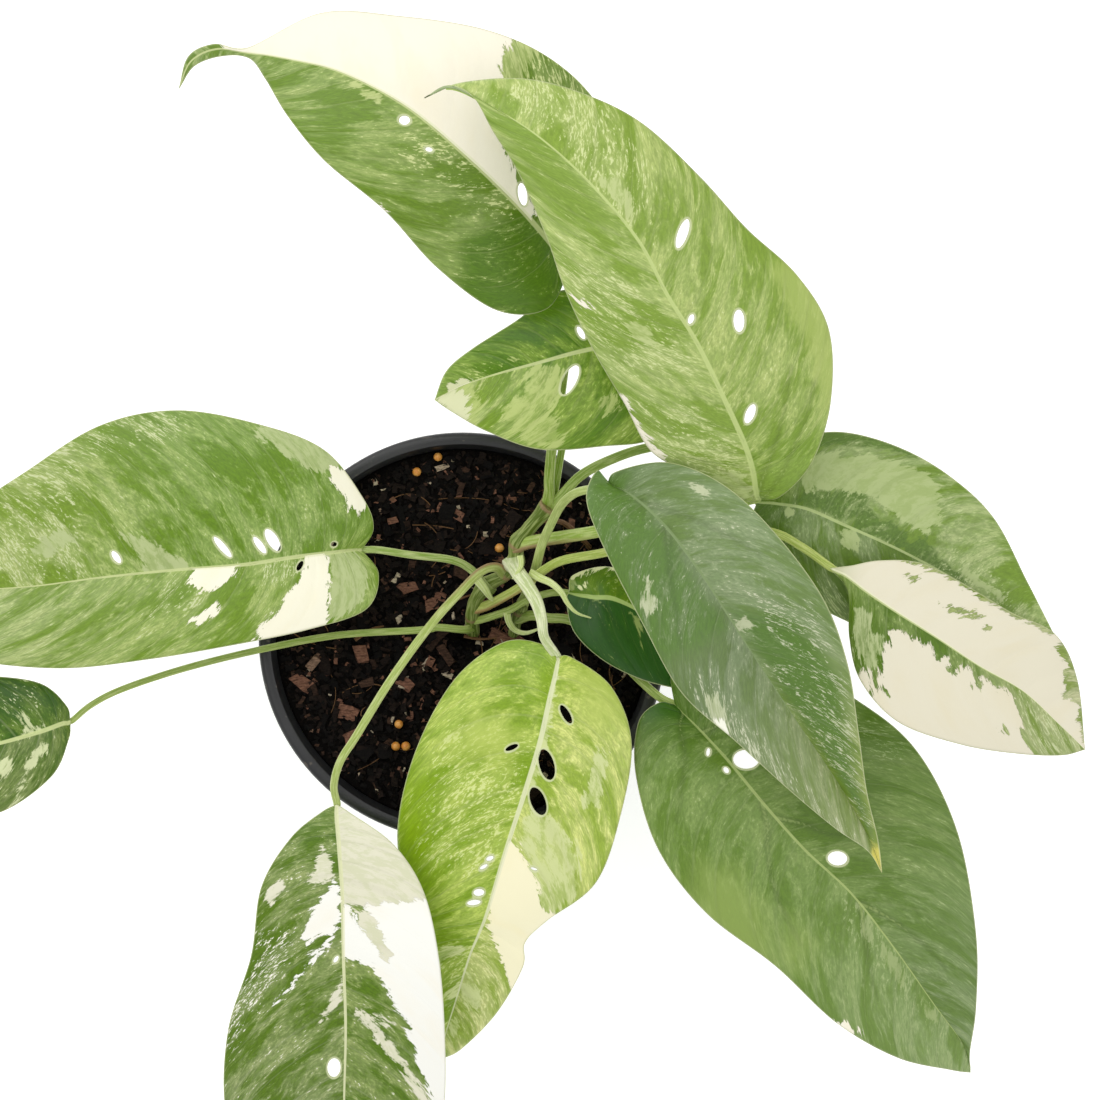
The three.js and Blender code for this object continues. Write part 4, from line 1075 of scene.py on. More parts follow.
def underside_finish():
    paint = Recipe("leaf_underside")
    side_vein = paint.read_number("side_vein")
    mottle = paint.noise(paint.stretched(paint.read("vein_place"), 0.06, 0.3, 0.0), 1.0, 3.0)
    colour = paint.mix(paint.step(mottle, 0.3, 0.7), pigment(.33, .43, .20), pigment(.42, .50, .26))
    colour = paint.mix(paint.step(side_vein, 0.8, 0.2, 0.0, 0.5), colour, pigment(.55, .60, .35))
    return paint.finish(colour, 0.55, paint.step(side_vein, 1.4, 0.0), 0.0003)


underside = underside_finish()
LARGE_LEAF_RIBS = 6
WIDE_SPACING, NARROW_SPACING = 12.0, 8.0
VEIN_SPACING = {
    name: WIDE_SPACING if len(facts["ribs"]) > LARGE_LEAF_RIBS else NARROW_SPACING
    for name, facts in LEAVES.items()
}
blade_finishes = {name: blade_finish(name, VEIN_SPACING[name]) for name in LEAVES}
print(len(blade_finishes), "leaf finishes")

# %% [markdown]
# ## The finish of stalks, stems and roots
#
# Stalks are round with a groove on top, glossy, and striped lengthwise. The stripes are a noise
# that is squeezed round the stalk and stretched along it. `around` holds where a point is on the
# round section and `run` how far along the stalk it is. Some stalks start with a brown edge, and
# a stem has a tan ring at each node, the scar of an old leaf.

# %% Stalk, stem and root finishes
STRIPES_PER_MM, SPECKS_PER_MM = 0.03, 0.5
STALK_LIGHT = 1.05
BROWN_EDGE_LENGTH = 60.0
RING_TONE = (.30, .19, .10, 1)


def stalk_finish(name, main, stripe, start=None, roughness=0.42, rings=()):
    paint = Recipe(name)
    x, y, _ = paint.split(paint.read("around"))
    run = paint.read_number("run")
    stripes = paint.noise(paint.gather(x, y, paint.times(run, STRIPES_PER_MM)), 3.2, 2.0, 0.6)
    specks = paint.noise(paint.gather(x, y, paint.times(run, SPECKS_PER_MM)), 2.5, 3.0)
    tones = (pigment(*main, STALK_LIGHT), pigment(*stripe, STALK_LIGHT))
    colour = paint.mix(paint.step(stripes, 0.40, 0.66), *tones)
    colour = paint.shade(colour, paint.step(specks, 0.35, 0.7, 0.95, 1.06))
    flank = paint.step(paint.math("ABSOLUTE", x), 0.6, 0.97, 0.0, 0.6)
    colour = paint.mix(flank, colour, pigment(*tinted(stripe, 1.12, 1.08, 1.15), STALK_LIGHT))
    if start:
        near_stem = paint.step(run, BROWN_EDGE_LENGTH, 6.0)
        brown_line = paint.times(near_stem, paint.step(x, 0.2, 0.7, 0.1, 0.9))
        colour = paint.mix(brown_line, colour, pigment(*start))
    for ring in rings:
        off = paint.math("ABSOLUTE", paint.math("SUBTRACT", run, ring))
        wavy = paint.math("ADD", off, paint.times(specks, 2.0))
        colour = paint.mix(paint.step(wavy, 2.4, 1.3, 0.0, 0.8), colour, RING_TONE)
    height = paint.total(stripes, paint.times(specks, 0.4))
    return paint.finish(colour, roughness, height, 0.00012, Specular_IOR_Level=0.3)


STALKS = {
    "leaf_back_left": ((.24, .36, .06), (.46, .55, .2)),
    "leaf_back_right": ((.3, .44, .08), (.5, .6, .22)),
    "leaf_small_back": ((.22, .34, .05), (.42, .52, .18)),
    "leaf_middle": ((.36, .45, .14), (.5, .58, .23)),
    "leaf_right_back": ((.24, .35, .07), (.42, .52, .18)),
    "leaf_right_front": ((.33, .42, .09), (.5, .57, .19)),
    "leaf_small_dark": ((.24, .34, .07), (.42, .5, .18)),
    "leaf_front_right": ((.24, .34, .07), (.44, .52, .18)),
    "leaf_front": ((.48, .56, .26), (.74, .77, .52)),
    "leaf_front_left": ((.33, .42, .11), (.5, .57, .24)),
    "leaf_left": ((.22, .32, .07), (.44, .51, .22)),
    "leaf_small_left": ((.26, .36, .08), (.42, .5, .18)),
}
BROWN_EDGES = {
    "leaf_front_left": (.3, .18, .1),
    "leaf_right_front": (.38, .24, .11),
    "leaf_back_right": (.34, .22, .13),
}
stalk_finishes = {
    name: stalk_finish(name + "_stalk", main, stripe, BROWN_EDGES.get(name))
    for name, (main, stripe) in STALKS.items()
}
root_finish = stalk_finish("root_skin", (.10, .055, .03), (.22, .13, .07), roughness=0.75)
sheath_finish = stalk_finish("young_sheath", (.50, .60, .20), (.66, .72, .38))
print(len(stalk_finishes), "stalk finishes, sheath and root")

# %% [markdown]
# ## Growing tubes along lines
#
# A stalk, a stem and a root are all the same job: a section swept along a line, thicker at some
# places than at others. One growth rule does it. It reads the thickness from the line's own
# points, sweeps a section with a groove on its upper side, closes the ends and realizes the
# result.

# %% The tube rule
SECTION_SIDES = 20


def tube_rule():
    rule = Growth("grow_tube", Line="Geometry", Sides="Int", Groove="Float", Skin="Material")
    line = rule.node("GeometryNodeMeshToCurve", rule.given["Line"])
    upright = rule.node("GeometryNodeSetCurveNormal", Curve=line, mode="Z_UP")
    thickness = rule.node("GeometryNodeInputNamedAttribute", Name="thickness")
    section = rule.node(
        "GeometryNodeCurvePrimitiveCircle", Resolution=rule.given["Sides"], Radius=1.0)
    place = rule.node("GeometryNodeInputPosition")
    parts = rule.node("ShaderNodeSeparateXYZ", place)
    upward = rule.node("ShaderNodeMath", parts.outputs["Y"], -1.0, operation="MULTIPLY")
    limits = (0.6, 1.0, 0.0, 1.0)
    top = rule.node("ShaderNodeMapRange", upward, *limits, interpolation_type="SMOOTHSTEP")
    depth = rule.node("ShaderNodeMath", top, rule.given["Groove"], operation="MULTIPLY")
    push = rule.node("ShaderNodeCombineXYZ", Y=depth)
    grooved = rule.node("GeometryNodeSetPosition", Geometry=section, Offset=push)
    kept = rule.node(
        "GeometryNodeStoreNamedAttribute", data_type="FLOAT_VECTOR", Name="around",
        Geometry=grooved, Value=place)
    swept = rule.node(
        "GeometryNodeCurveToMesh", Fill_Caps=True, Scale=thickness,
        Curve=upright, Profile_Curve=kept)
    return rule.close(rule.node("GeometryNodeSetShadeSmooth", swept))


grow_tube = tube_rule()


def tube(name, lines, skin, sides=SECTION_SIDES, groove=0.0):
    """Grows one piece from lines, each given as its points and its radii in mm."""
    points, radii, runs, edges = [], [], [], []
    for line, radius in lines:
        first = sum(len(p) for p in points)
        steps = np.linalg.norm(np.diff(line, axis=0), axis=1)
        points.append(line)
        radii.append(radius)
        runs.append(np.concatenate([[0], np.cumsum(steps)]))
        edges += [(first + k, first + k + 1) for k in range(len(line) - 1)]
    mesh = new_mesh(name, np.vstack(points), edges=edges)
    store(mesh, "thickness", np.concatenate(radii) * MM)
    store(mesh, "run", np.concatenate(runs))
    return grown(new_object(name, mesh), grow_tube, Sides=sides, Groove=groove, Skin=skin)


print("tube rule:", len(grow_tube.tree.nodes), "nodes")

# %% [markdown]
# ## The form of a leaf
#
# A leaf grows from its midrib outwards. Each place on the blade is a share along the midrib and a
# share out to the left (-1) or right (+1) margin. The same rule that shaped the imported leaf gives
# the place in space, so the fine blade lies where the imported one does.

# %% The rule behind every leaf
STALK_TAPER = 0.2
STALK_FLARE = 0.35
FLARE_LENGTH = 0.08
SINK_START = 0.7
RIB_INSIDE_BLADE = 0.2
RIB_START_SHARE = 0.7
RIB_TIP_RADIUS = 0.3
RIB_DROP = 0.3
FIRST_GUESSES_ALONG, FIRST_GUESSES_OUT = 97, 79
NUDGE = 1e-4
LONGEST_STEP = 0.03


class GrownLeaf:
    """The measured form of one leaf in mm: its centre line, its margins and its curved blade."""

    def __init__(self, facts):
        ribs, base, tip = facts["ribs"], facts["base"], facts["tip"]
        self.facts = facts
        self.centre = above_rim([*facts["stalk"], base, *(rib[1] for rib in ribs), tip])
        self.stalk_share = len(facts["stalk"]) / (len(self.centre) - 1)
        self.margins = {}
        for side, name, which in ((-1, "left", 0), (1, "right", 2)):
            first, last = facts["rise"][name]
            line = [base]
            for k, rib in enumerate(ribs):
                (x, y), (mid_x, mid_y, mid_z) = rib[which], rib[1]
                rise = first + (last - first) * (k + 1) / (len(ribs) + 1)
                line.append((x, y, mid_z + rise * math.hypot(x - mid_x, y - mid_y)))
            self.margins[side] = above_rim([*line, tip])

    def midrib(self, along):
        return through(self.centre, self.stalk_share + np.asarray(along) * (1 - self.stalk_share))

    def stalk(self, along):
        return through(self.centre, np.asarray(along) * self.stalk_share)

    def half_width(self, along, side):
        return np.linalg.norm(through(self.margins[side], along) - self.midrib(along), axis=1)

    def place(self, along, out):
        middle = self.midrib(along)
        left, right = through(self.margins[-1], along), through(self.margins[1], along)
        edge = np.where((out < 0)[:, None], left, right)
        side, reach = np.where(out < 0, -1, 1), np.abs(out)
        points = middle + (edge - middle) * reach[:, None]
        width = np.linalg.norm(edge - middle, axis=1)
        wave_height, wave_count = self.facts["wave"]
        points[:, 2] += self.facts["arch"] * width * 4 * reach * (1 - reach)
        wave = np.sin(2 * np.pi * wave_count * along + side)
        points[:, 2] += wave_height * reach**2 * np.sin(np.pi * along) * wave
        return points

    def upwards(self, along):
        at = np.clip(along, 0.04, 0.96)
        forward = self.midrib(at + 0.02) - self.midrib(at - 0.02)
        out = np.full_like(at, 0.3)
        return unit(np.cross(forward, self.place(at, -out) - self.place(at, out)) * -1)

    def locate(self, spots):
        """Finds (along, out) of spots given as x, y from above."""
        shares = np.linspace(0.02, 0.98, FIRST_GUESSES_ALONG)
        along, out = np.meshgrid(shares, np.linspace(-0.98, 0.98, FIRST_GUESSES_OUT))
        along, out = along.ravel(), out.ravel()
        known = self.place(along, out)[:, :2]
        found = []
        for spot in spots:
            nearest = np.argmin(((known - spot) ** 2).sum(axis=1))
            at = np.array([along[nearest], out[nearest]])
            for _ in range(6):
                near_along = np.array([at[0], at[0] + NUDGE, at[0]])
                near_out = np.array([at[1], at[1], at[1] + NUDGE])
                here, ahead, aside = self.place(near_along, near_out)[:, :2]
                slopes = np.column_stack([ahead - here, aside - here]) / NUDGE
                step = np.linalg.solve(slopes, spot - here)
                at = at + np.clip(step, -LONGEST_STEP, LONGEST_STEP)
            found.append(at)
        return np.array(found)


forms = {name: GrownLeaf(facts) for name, facts in LEAVES.items()}
for name, form in forms.items():
    print(name, "midrib", round(run_length(form.midrib(np.linspace(0, 1, 200)))), "mm")

# %% [markdown]
# ## Distances on a flat blade
#
# The patches, creases and windows are all outlines or lines on the blade laid flat. How far a
# point lies inside an outline, or away from a line, is the one thing that the meshes and finishes
# need of them, so it is worked out here for many points at once.

# %% Distances
VEIN_FADE = 1.0
FAR = 60.0


def inside_by(x, y, outline):
    """How far points lie inside a closed outline, in mm; negative outside."""
    ax, ay = outline.T
    bx, by = np.roll(outline, -1, axis=0).T
    px, py = x[:, None] - ax, y[:, None] - ay
    ex, ey = bx - ax, by - ay
    t = np.clip((px * ex + py * ey) / np.maximum(ex**2 + ey**2, 1e-9), 0, 1)
    distance = np.sqrt(((px - t * ex) ** 2 + (py - t * ey) ** 2).min(axis=1))
    rise = np.where(by == ay, 1e-9, by - ay)
    spans = (ay > y[:, None]) != (by > y[:, None])
    crossed = spans & (x[:, None] < ax + (y[:, None] - ay) * ex / rise)
    return np.where(crossed.sum(axis=1) % 2 == 1, distance, -distance)


def deepest(x, y, outlines):
    depth = np.full(len(x), -FAR)
    for outline in outlines:
        depth = np.maximum(depth, inside_by(x, y, outline))
    return depth


def nearest(x, y, lines):
    """The distance in mm to the nearest of some lines, growing along each so that it fades out."""
    distance = np.full(len(x), float(FAR))
    for line in lines:
        for k, ((ax, ay), (bx, by)) in enumerate(zip(line[:-1], line[1:])):
            squared_length = (bx - ax) ** 2 + (by - ay) ** 2
            share = ((x - ax) * (bx - ax) + (y - ay) * (by - ay)) / squared_length
            share = np.clip(share, 0, 1)
            away = np.hypot(x - ax - share * (bx - ax), y - ay - share * (by - ay))
            distance = np.minimum(distance, away + VEIN_FADE * (k + share) / len(line))
    return distance


square = np.array([(0, 0), (2, 0), (2, 2), (0, 2)], float)
print("a square's middle lies", float(inside_by(np.ones(1), np.ones(1), square)[0]), "inside it")

# %% [markdown]
# ## The blade laid flat
#
# The blade is meshed flat, in (distance out, distance along) millimetres, with points about a
# millimetre apart, more beside the midrib and round the windows. A constrained triangulation
# joins them, because it keeps the margins and the windows exactly as drawn.

# %% The flat blade
POINT_SPACING = 1.15
NARROWEST_ROW = 0.35
BESIDE_MIDRIB, WIDE_ENOUGH = (0.45, 0.9), 3.5
CLEAR_OF_WINDOW = 0.45
WINDOW_CORNERS_PER_MM, FEWEST_CORNERS = 2.6, 14
RINGS_ROUND_WINDOW = (0.6, 1.3)
CLEAR_OF_BLADE = 14.0


class FlatBlade:
    """A blade laid flat: x is the distance out from the midrib and y the distance along it."""

    def __init__(self, form, holes):
        self.form = form
        fine = np.linspace(0, 1, 400)
        self.length = run_length(form.midrib(fine))
        longest = max(self.length, *(run_length(through(m, fine)) for m in form.margins.values()))
        rows = int(longest / POINT_SPACING)
        self.rows = np.linspace(0, 1, rows + 1)
        self.widths = {side: form.half_width(self.rows, side) for side in (-1, 1)}
        self.windows = [self.window(*hole) for hole in holes]

    def width(self, along, side):
        return np.interp(along, self.rows, self.widths[side])

    def flat(self, along, out):
        width = np.where(out < 0, self.width(along, -1), self.width(along, 1))
        return np.column_stack([out * width, along * self.length])

    def window(self, x, y, length, width, turn):
        corners = max(FEWEST_CORNERS, int(length * WINDOW_CORNERS_PER_MM))
        turns = np.linspace(0, 2 * np.pi, corners, endpoint=False)
        across, up = np.cos(turns) * length / 2, np.sin(turns) * width / 2
        angle = math.radians(turn)
        spots = np.column_stack([
            x + across * math.cos(angle) - up * math.sin(angle),
            y + across * math.sin(angle) + up * math.cos(angle),
        ])
        return self.flat(*self.form.locate(spots).T)

    def outline(self, corners, side):
        """A patch's outline laid flat, with corners beyond the blade moved well clear of it."""
        corners = np.array(corners) / 100
        shares = np.linspace(0, 1, 8, endpoint=False)[:, None]
        ends = np.roll(corners, -1, axis=0)
        path = np.vstack([a + (b - a) * shares for a, b in zip(corners, ends)])
        along, out = path.T
        clear = CLEAR_OF_BLADE * (np.clip((out - 1) / 0.05, 0, 1) - np.clip(-out / 0.05, 0, 1))
        x = out * self.width(np.clip(along, 0, 1), side) + clear
        y = along * self.length + CLEAR_OF_BLADE * ((along >= 1) * 1.0 - (along <= 0))
        return np.column_stack([side * x, y])

    def points(self):
        spots, rims = [(0.0, 0.0)], []
        chains = {-1: [0], 1: [0]}
        for k, along in enumerate(self.rows[1:-1], 1):
            if min(self.widths[-1][k], self.widths[1][k]) < NARROWEST_ROW:
                continue
            y = along * self.length
            spots.append((0.0, y))
            for side in (-1, 1):
                width = self.widths[side][k]
                count = max(1, round(width / POINT_SPACING))
                near = list(BESIDE_MIDRIB) if width > WIDE_ENOUGH else []
                for x in near + [width * (j + 1) / count for j in range(count)]:
                    spots.append((side * x, y))
                chains[side].append(len(spots) - 1)
        spots.append((0.0, self.length))
        spots = np.array(spots)
        edges = []
        for chain in chains.values():
            chain = [*chain, len(spots) - 1]
            edges += list(zip(chain[:-1], chain[1:]))
        keep = np.ones(len(spots), bool)
        for window in self.windows:
            keep &= inside_by(spots[:, 0], spots[:, 1], window) < -CLEAR_OF_WINDOW
            middle = window.mean(axis=0)
            for growth in RINGS_ROUND_WINDOW:
                away = unit(window - middle)
                rims.append(window + away * growth)
        keep[[i for edge in edges for i in edge]] = True
        renumber = np.cumsum(keep) - 1
        edges = [(int(renumber[a]), int(renumber[b])) for a, b in edges]
        spots = spots[keep]
        for window in self.windows:
            first = len(spots)
            spots = np.vstack([spots, window])
            edges += [(first + k, first + (k + 1) % len(window)) for k in range(len(window))]
        return (np.vstack([spots, *rims]) if rims else spots), edges

    def mesh(self):
        spots, edges = self.points()
        result = delaunay_2d_cdt([Vector(p) for p in spots.tolist()], edges, [], 0, 1e-5, True)
        flat = np.array([tuple(v) for v in result[0]])
        faces = np.array([f for f in result[2] if len(f) == 3])
        middle = flat[faces].mean(axis=1)
        along = middle[:, 1] / self.length
        inside = (middle[:, 0] > -self.width(along, -1)) & (middle[:, 0] < self.width(along, 1))
        for window in self.windows:
            inside &= inside_by(middle[:, 0], middle[:, 1], window) < 0
        faces = faces[inside]
        used = np.unique(faces)
        renumber = np.zeros(len(flat), int)
        renumber[used] = np.arange(len(used))
        return flat[used], renumber[faces]


print("blades are meshed at", POINT_SPACING, "mm")

# %% [markdown]
# ## Relief of a blade
#
# Then every point is placed in space by the leaf's rule and raised or sunk a little: the flesh
# swells between the side veins, the strong veins are sunk, and the midrib and the rims of the
# windows stand up. The patches are kept on the points as distances in mm, so the finish can fray
# their edges finer than the mesh.

# %% Veins and relief
VEIN_SWEEP = 0.45
VEIN_CURL = 0.25
VEIN_STRAY, VEIN_OFFSET = 1.3, 2.2
SWELL, SWELL_WIDTH = 0.13, 2.4
CREASE_DEPTH, CREASE_WIDTH = 0.12, 1.3
RIM_RISE, RIM_WIDTH = 0.2, 0.9
MIDRIB_RISE = 0.14


def vein_place(blade, x, y):
    """Where the side vein through each flat point leaves the midrib, in mm along it."""
    side = np.where(x < 0, -1, 1)
    along = y / blade.length
    width = np.maximum(np.where(x < 0, blade.width(along, -1), blade.width(along, 1)), 0.01)
    reach = np.clip(np.abs(x) / width, 0, 1)
    turn = smooth(along, 0.0, 0.16) * 1.7 - 0.7
    vein = y - (VEIN_SWEEP * np.abs(x) + VEIN_CURL * width * reach**3) * turn
    return vein + VEIN_STRAY * np.sin(vein * 0.31 + side) + VEIN_OFFSET * side


def hump(distance, width):
    """1 on a line, falling off to 0 beside it."""
    return np.exp(-((distance / width) ** 2))


def relief_of(x, along, out, width, side_vein, crease, margin, window):
    """How far each point of a blade stands up from its smooth form, in mm."""
    reach = np.abs(out)
    swell = SWELL * (1 - hump(side_vein, SWELL_WIDTH))
    relief = swell * smooth(reach, 0, 0.2) * (1 - smooth(reach, 0.8, 1))
    relief += MIDRIB_RISE * (1 - 0.6 * along) * hump(x, 1.2 - 0.7 * along) * smooth(width, 2, 6)
    relief -= CREASE_DEPTH * hump(crease, CREASE_WIDTH) * smooth(margin, 1, 8)
    return relief + RIM_RISE * hump(window, RIM_WIDTH)


PATCH_STORES = (("marks_", ("cream", "pale", "lime")), ("tone_", ("deep", "flecks", "gaps")))


def store_patches(mesh, name, blade, x, y):
    """Keeps on each point how deep it lies in each kind of patch of either half."""
    for side, half in ((-1, "left"), (1, "right")):
        marks = PATCHES.get((name, half), {})
        depths = {
            kind: deepest(x, y, [blade.outline(corners, side) for corners in marks.get(kind, [])])
            for _, kinds in PATCH_STORES for kind in kinds
        }
        for store_name, kinds in PATCH_STORES:
            store(mesh, store_name + half, np.column_stack([depths[kind] for kind in kinds]))


print("relief of up to", RIM_RISE, "mm")

# %% [markdown]
# ## Growing the blades
#
# A blade is one sheet that gets its thickness from a Solidify modifier, evenly to both sides of
# the measured surface. The upper side, the underside and the cut edge then have a finish each.

# %% Blades
BLADE_THICKNESS = 0.5


def grow_blade(name, form):
    blade = FlatBlade(form, HOLES.get(name, []))
    flat, faces = blade.mesh()
    x, y = flat.T
    along = np.clip(y / blade.length, 0, 1)
    left, right = blade.width(along, -1), blade.width(along, 1)
    width = np.maximum(np.where(x < 0, left, right), 1e-6)
    out = np.clip(x / width, -1, 1)
    vein = vein_place(blade, x, y)
    spacing = VEIN_SPACING[name]
    side_vein = np.abs((vein / spacing + 0.5) % 1 - 0.5) * spacing
    margin = np.where(x < 0, left + x, right - x)
    window = -deepest(x, y, blade.windows)
    shares = np.linspace(0, 1, 16)
    strong = [blade.flat(*through(np.array(line), shares).T) for line in STRONG_VEINS.get(name, [])]
    crease = nearest(x, y, strong)
    points = form.place(along, out)
    mesh = new_mesh("grown_" + name, points, faces=faces.tolist())
    normals = np.zeros(len(points) * 3, np.float32)
    mesh.vertices.foreach_get("normal", normals)
    normals = normals.reshape(-1, 3)
    if normals[:, 2].mean() < 0:
        mesh.flip_normals()
        normals = -normals
    relief = relief_of(x, along, out, width, side_vein, crease, margin, window)
    points = points + normals * relief[:, None]
    mesh.vertices.foreach_set("co", (points * MM).astype(np.float32).ravel())
    mesh.update()
    store(mesh, "vein_place", np.column_stack([x, vein, along]))
    store(mesh, "side_vein", side_vein)
    store(mesh, "lines", np.column_stack([crease, margin, window]))
    store_patches(mesh, name, blade, x, y)
    mesh.shade_smooth()
    piece = new_object("grown_" + name, mesh, blade_finishes[name], underside)
    thick = piece.modifiers.new("thickness", "SOLIDIFY")
    thick.thickness = BLADE_THICKNESS * MM
    thick.offset = 0
    thick.material_offset = 1
    thick.material_offset_rim = 0
    return settle(piece)


blades = {name: grow_blade(name, form) for name, form in forms.items()}
print(len(blades), "blades,", sum(triangles(blade) for blade in blades.values()), "triangles")

# %% [markdown]
# ## Growing the stalks, and whole leaves
#
# A stalk runs on under the blade as its midrib, thinning towards the tip. Where they meet, the
# stalk sinks by its own radius, so that the blade's surface flows off its upper side. Blade and
# stalk are joined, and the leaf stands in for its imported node.

# %% Stalks and whole leaves
STALK_STEP = 1.6
STALK_GROOVE = 0.3
RIB_END = 0.93


def grow_stalk(name, form):
    radius = form.facts["stalk_radius"]
    length = run_length(form.stalk(np.linspace(0, 1, 99)))
    along = np.linspace(0, 1, max(24, int(length / STALK_STEP)))
    flare = STALK_FLARE * np.exp(-((along / FLARE_LENGTH) ** 2))
    stalk_radii = radius * (1 - STALK_TAPER * along + flare)
    stalk_radii *= 1 + form.facts.get("sheath", 0) * (1 - smooth(along, 0.4, 0.85))
    side = np.sign(form.upwards(np.linspace(0, 1, 9))[:, 2].mean())
    up_at_base = side * form.upwards(np.array([0.0]))[0]
    sink = smooth(along, SINK_START, 1) * (stalk_radii - RIB_INSIDE_BLADE)
    stalk_line = form.stalk(along) - up_at_base * sink[:, None]
    rib_along = np.linspace(0, RIB_END, 60)[1:]
    thinning = [RIB_START_SHARE * radius, 0.5, RIB_TIP_RADIUS]
    rib_radii = np.interp(rib_along, [0, 0.6, RIB_END], thinning)
    sunk = rib_radii - RIB_INSIDE_BLADE + RIB_DROP * smooth(rib_along, -0.01, 0.02)
    rib_line = form.midrib(rib_along) - side * form.upwards(rib_along) * sunk[:, None]
    line, radii = np.vstack([stalk_line, rib_line]), np.concatenate([stalk_radii, rib_radii])
    return tube(name + "_stalk", [(line, radii)], stalk_finishes[name], groove=STALK_GROOVE)


for name, form in forms.items():
    leaf = join(blades[name], grow_stalk(name, form))
    stand_in(leaf, name)

# %% [markdown]
# ## Stems and the aerial root
#
# The climbing stem zig-zags from node to node and swells a little at each. A root has grown from
# its top node down into the soil, and the stalks of the youngest leaves are wrapped in sheaths.

# %% Stem measurements
MAIN_STEM = {
    "radius": 2.9, "nodes": (0.42, 0.67, 0.8, 1), "swell": 0.4,
    "points": [
        (2, -4, -45), (4, 1, -10), (4, 8, 0), (6, 16, 7), (11, 22, 11), (18, 26, 15), (22, 31, 18),
        (23, 38, 21), (28, 45, 26), (36, 54, 32),
    ],
}
SECOND_SHOOT = {
    "radius": 2.3, "nodes": (0.9,), "swell": 0.25,
    "points": [(20, -4, -40), (21, 1, -8), (23, 9, 3), (25, 14, 9)],
}
AERIAL_ROOT = {
    "radius": 1.1, "nodes": (), "swell": 0,
    "points": [(31, 48, 27), (37, 48, 23), (42, 47, 17), (47, 43, 8), (52, 38, -4), (54, 35, -18)],
}
NODE_LENGTH = 0.04
SHEATHS = [
    (
        1.7,
        [(531, 573, 32), (540, 578, 38), (551, 583, 42), (561, 592, 43), (568, 604, 42),
            (577, 613, 40), (591, 618, 37)],
    ),
    (
        1.5,
        [(507, 612, 12), (509, 622, 10), (515, 630, 8), (525, 633, 8), (536, 630, 10),
            (546, 625, 13)],
    ),
    (2.0, [(476, 578, 20), (484, 588, 19), (490, 597, 16), (496, 602, 13)]),
    (1.3, [(520, 556, 34), (521, 565, 35), (517, 573, 35), (512, 579, 33)]),
]
print("stem, shoot, root and", len(SHEATHS), "sheaths measured")

# %% [markdown]
# ## Growing the stems
#
# The tube rule grows the stems too. Their radii swell at the nodes and stray a little by a fixed
# seed, as bark does. The sheaths are short tubes that thin to a point.

# %% Stems
STEM_STEPS = 110


def wood(name, facts, skin, roughness, seed):
    """A stem or root: swollen at its nodes and a little knobbly."""
    along = np.linspace(0, 1, STEM_STEPS)
    line = through(above_rim(facts["points"]), along)
    swelling = sum(facts["swell"] * hump(along - node, NODE_LENGTH) for node in facts["nodes"])
    knobs = np.random.default_rng(seed).normal(0, roughness, STEM_STEPS)
    knobs = np.convolve(knobs, [0.2, 0.6, 0.2], "same")
    radii = facts["radius"] * (1 + swelling + knobs)
    return tube(name, [(line, radii)], skin)


def stem_finish(name, facts):
    length = run_length(above_rim(facts["points"]))
    rings = [length * node for node in facts["nodes"]]
    return stalk_finish(name, (.115, .165, .035), (.33, .39, .14), roughness=0.5, rings=rings)


def sheaths(lines):
    """Pointed young sheaths, placed by their photo pixels and their height above the rim."""
    tapered = []
    for radius, points in lines:
        places = [(*from_photo(px, py, RIM + height), RIM + height) for px, py, height in points]
        along = np.linspace(0, 1, 40)
        tapered.append((through(places, along), radius * (1 - 0.85 * along**1.5)))
    return tube("sheaths", tapered, sheath_finish, groove=0.4)


main_stem = wood("grown_main_stem", MAIN_STEM, stem_finish("main_stem_skin", MAIN_STEM), 0.02, 3)
main_stem = join(main_stem, sheaths(SHEATHS))
shoot_finish = stem_finish("shoot_skin", SECOND_SHOOT)
second_shoot = wood("grown_second_shoot", SECOND_SHOOT, shoot_finish, 0.02, 4)
aerial_root = wood("grown_aerial_root", AERIAL_ROOT, root_finish, 0.08, 5)
stand_in(main_stem, "main_stem")
stand_in(second_shoot, "second_shoot")
stand_in(aerial_root, "aerial_root")

# %% [markdown]
# ## The pot
#
# A thin black nursery pot, tapered so that pots stack, with a turned-down collar that stiffens
# the rim. The mould is round, so one profile is turned round the pot's axis by a growth rule. The
# faces that meet on the axis are welded, so the floor is closed.

# %% Pot profile
RIM_RADIUS = 85
POT_SIDES = 144
FLOOR = 3
SOIL_TOP = 142
INSIDE_AT_FLOOR, INSIDE_AT_RIM = 58, 79.5
WELD = 0.00002


def inside_radius(height):
    return INSIDE_AT_FLOOR + (INSIDE_AT_RIM - INSIDE_AT_FLOOR) * (height - FLOOR) / (RIM - FLOOR)


POT_PROFILE = [
    (0, 0), (30, 0), (56, 0), (58.2, 0.3), (59.6, 1.2), (60.2, 2.6), (inside_radius(60) + 2, 60),
    (inside_radius(133) + 2, 132.4), (inside_radius(134) + 2.3, 133.4), (83.2, 133.7),
    (83.9, 134.3), (84.4, 140), (84.9, 146.5), (84.9, 148.2), (84.5, 149.2), (83.7, 149.8),
    (82.8, 150), (inside_radius(150) + 1.4, 150), (inside_radius(150) + 0.5, 149.7),
    (inside_radius(149), 148.9), (inside_radius(100), 100), (inside_radius(40), 40), (58.3, 4.6),
    (57, 3.2), (55, 3), (30, 3), (0, 3),
]


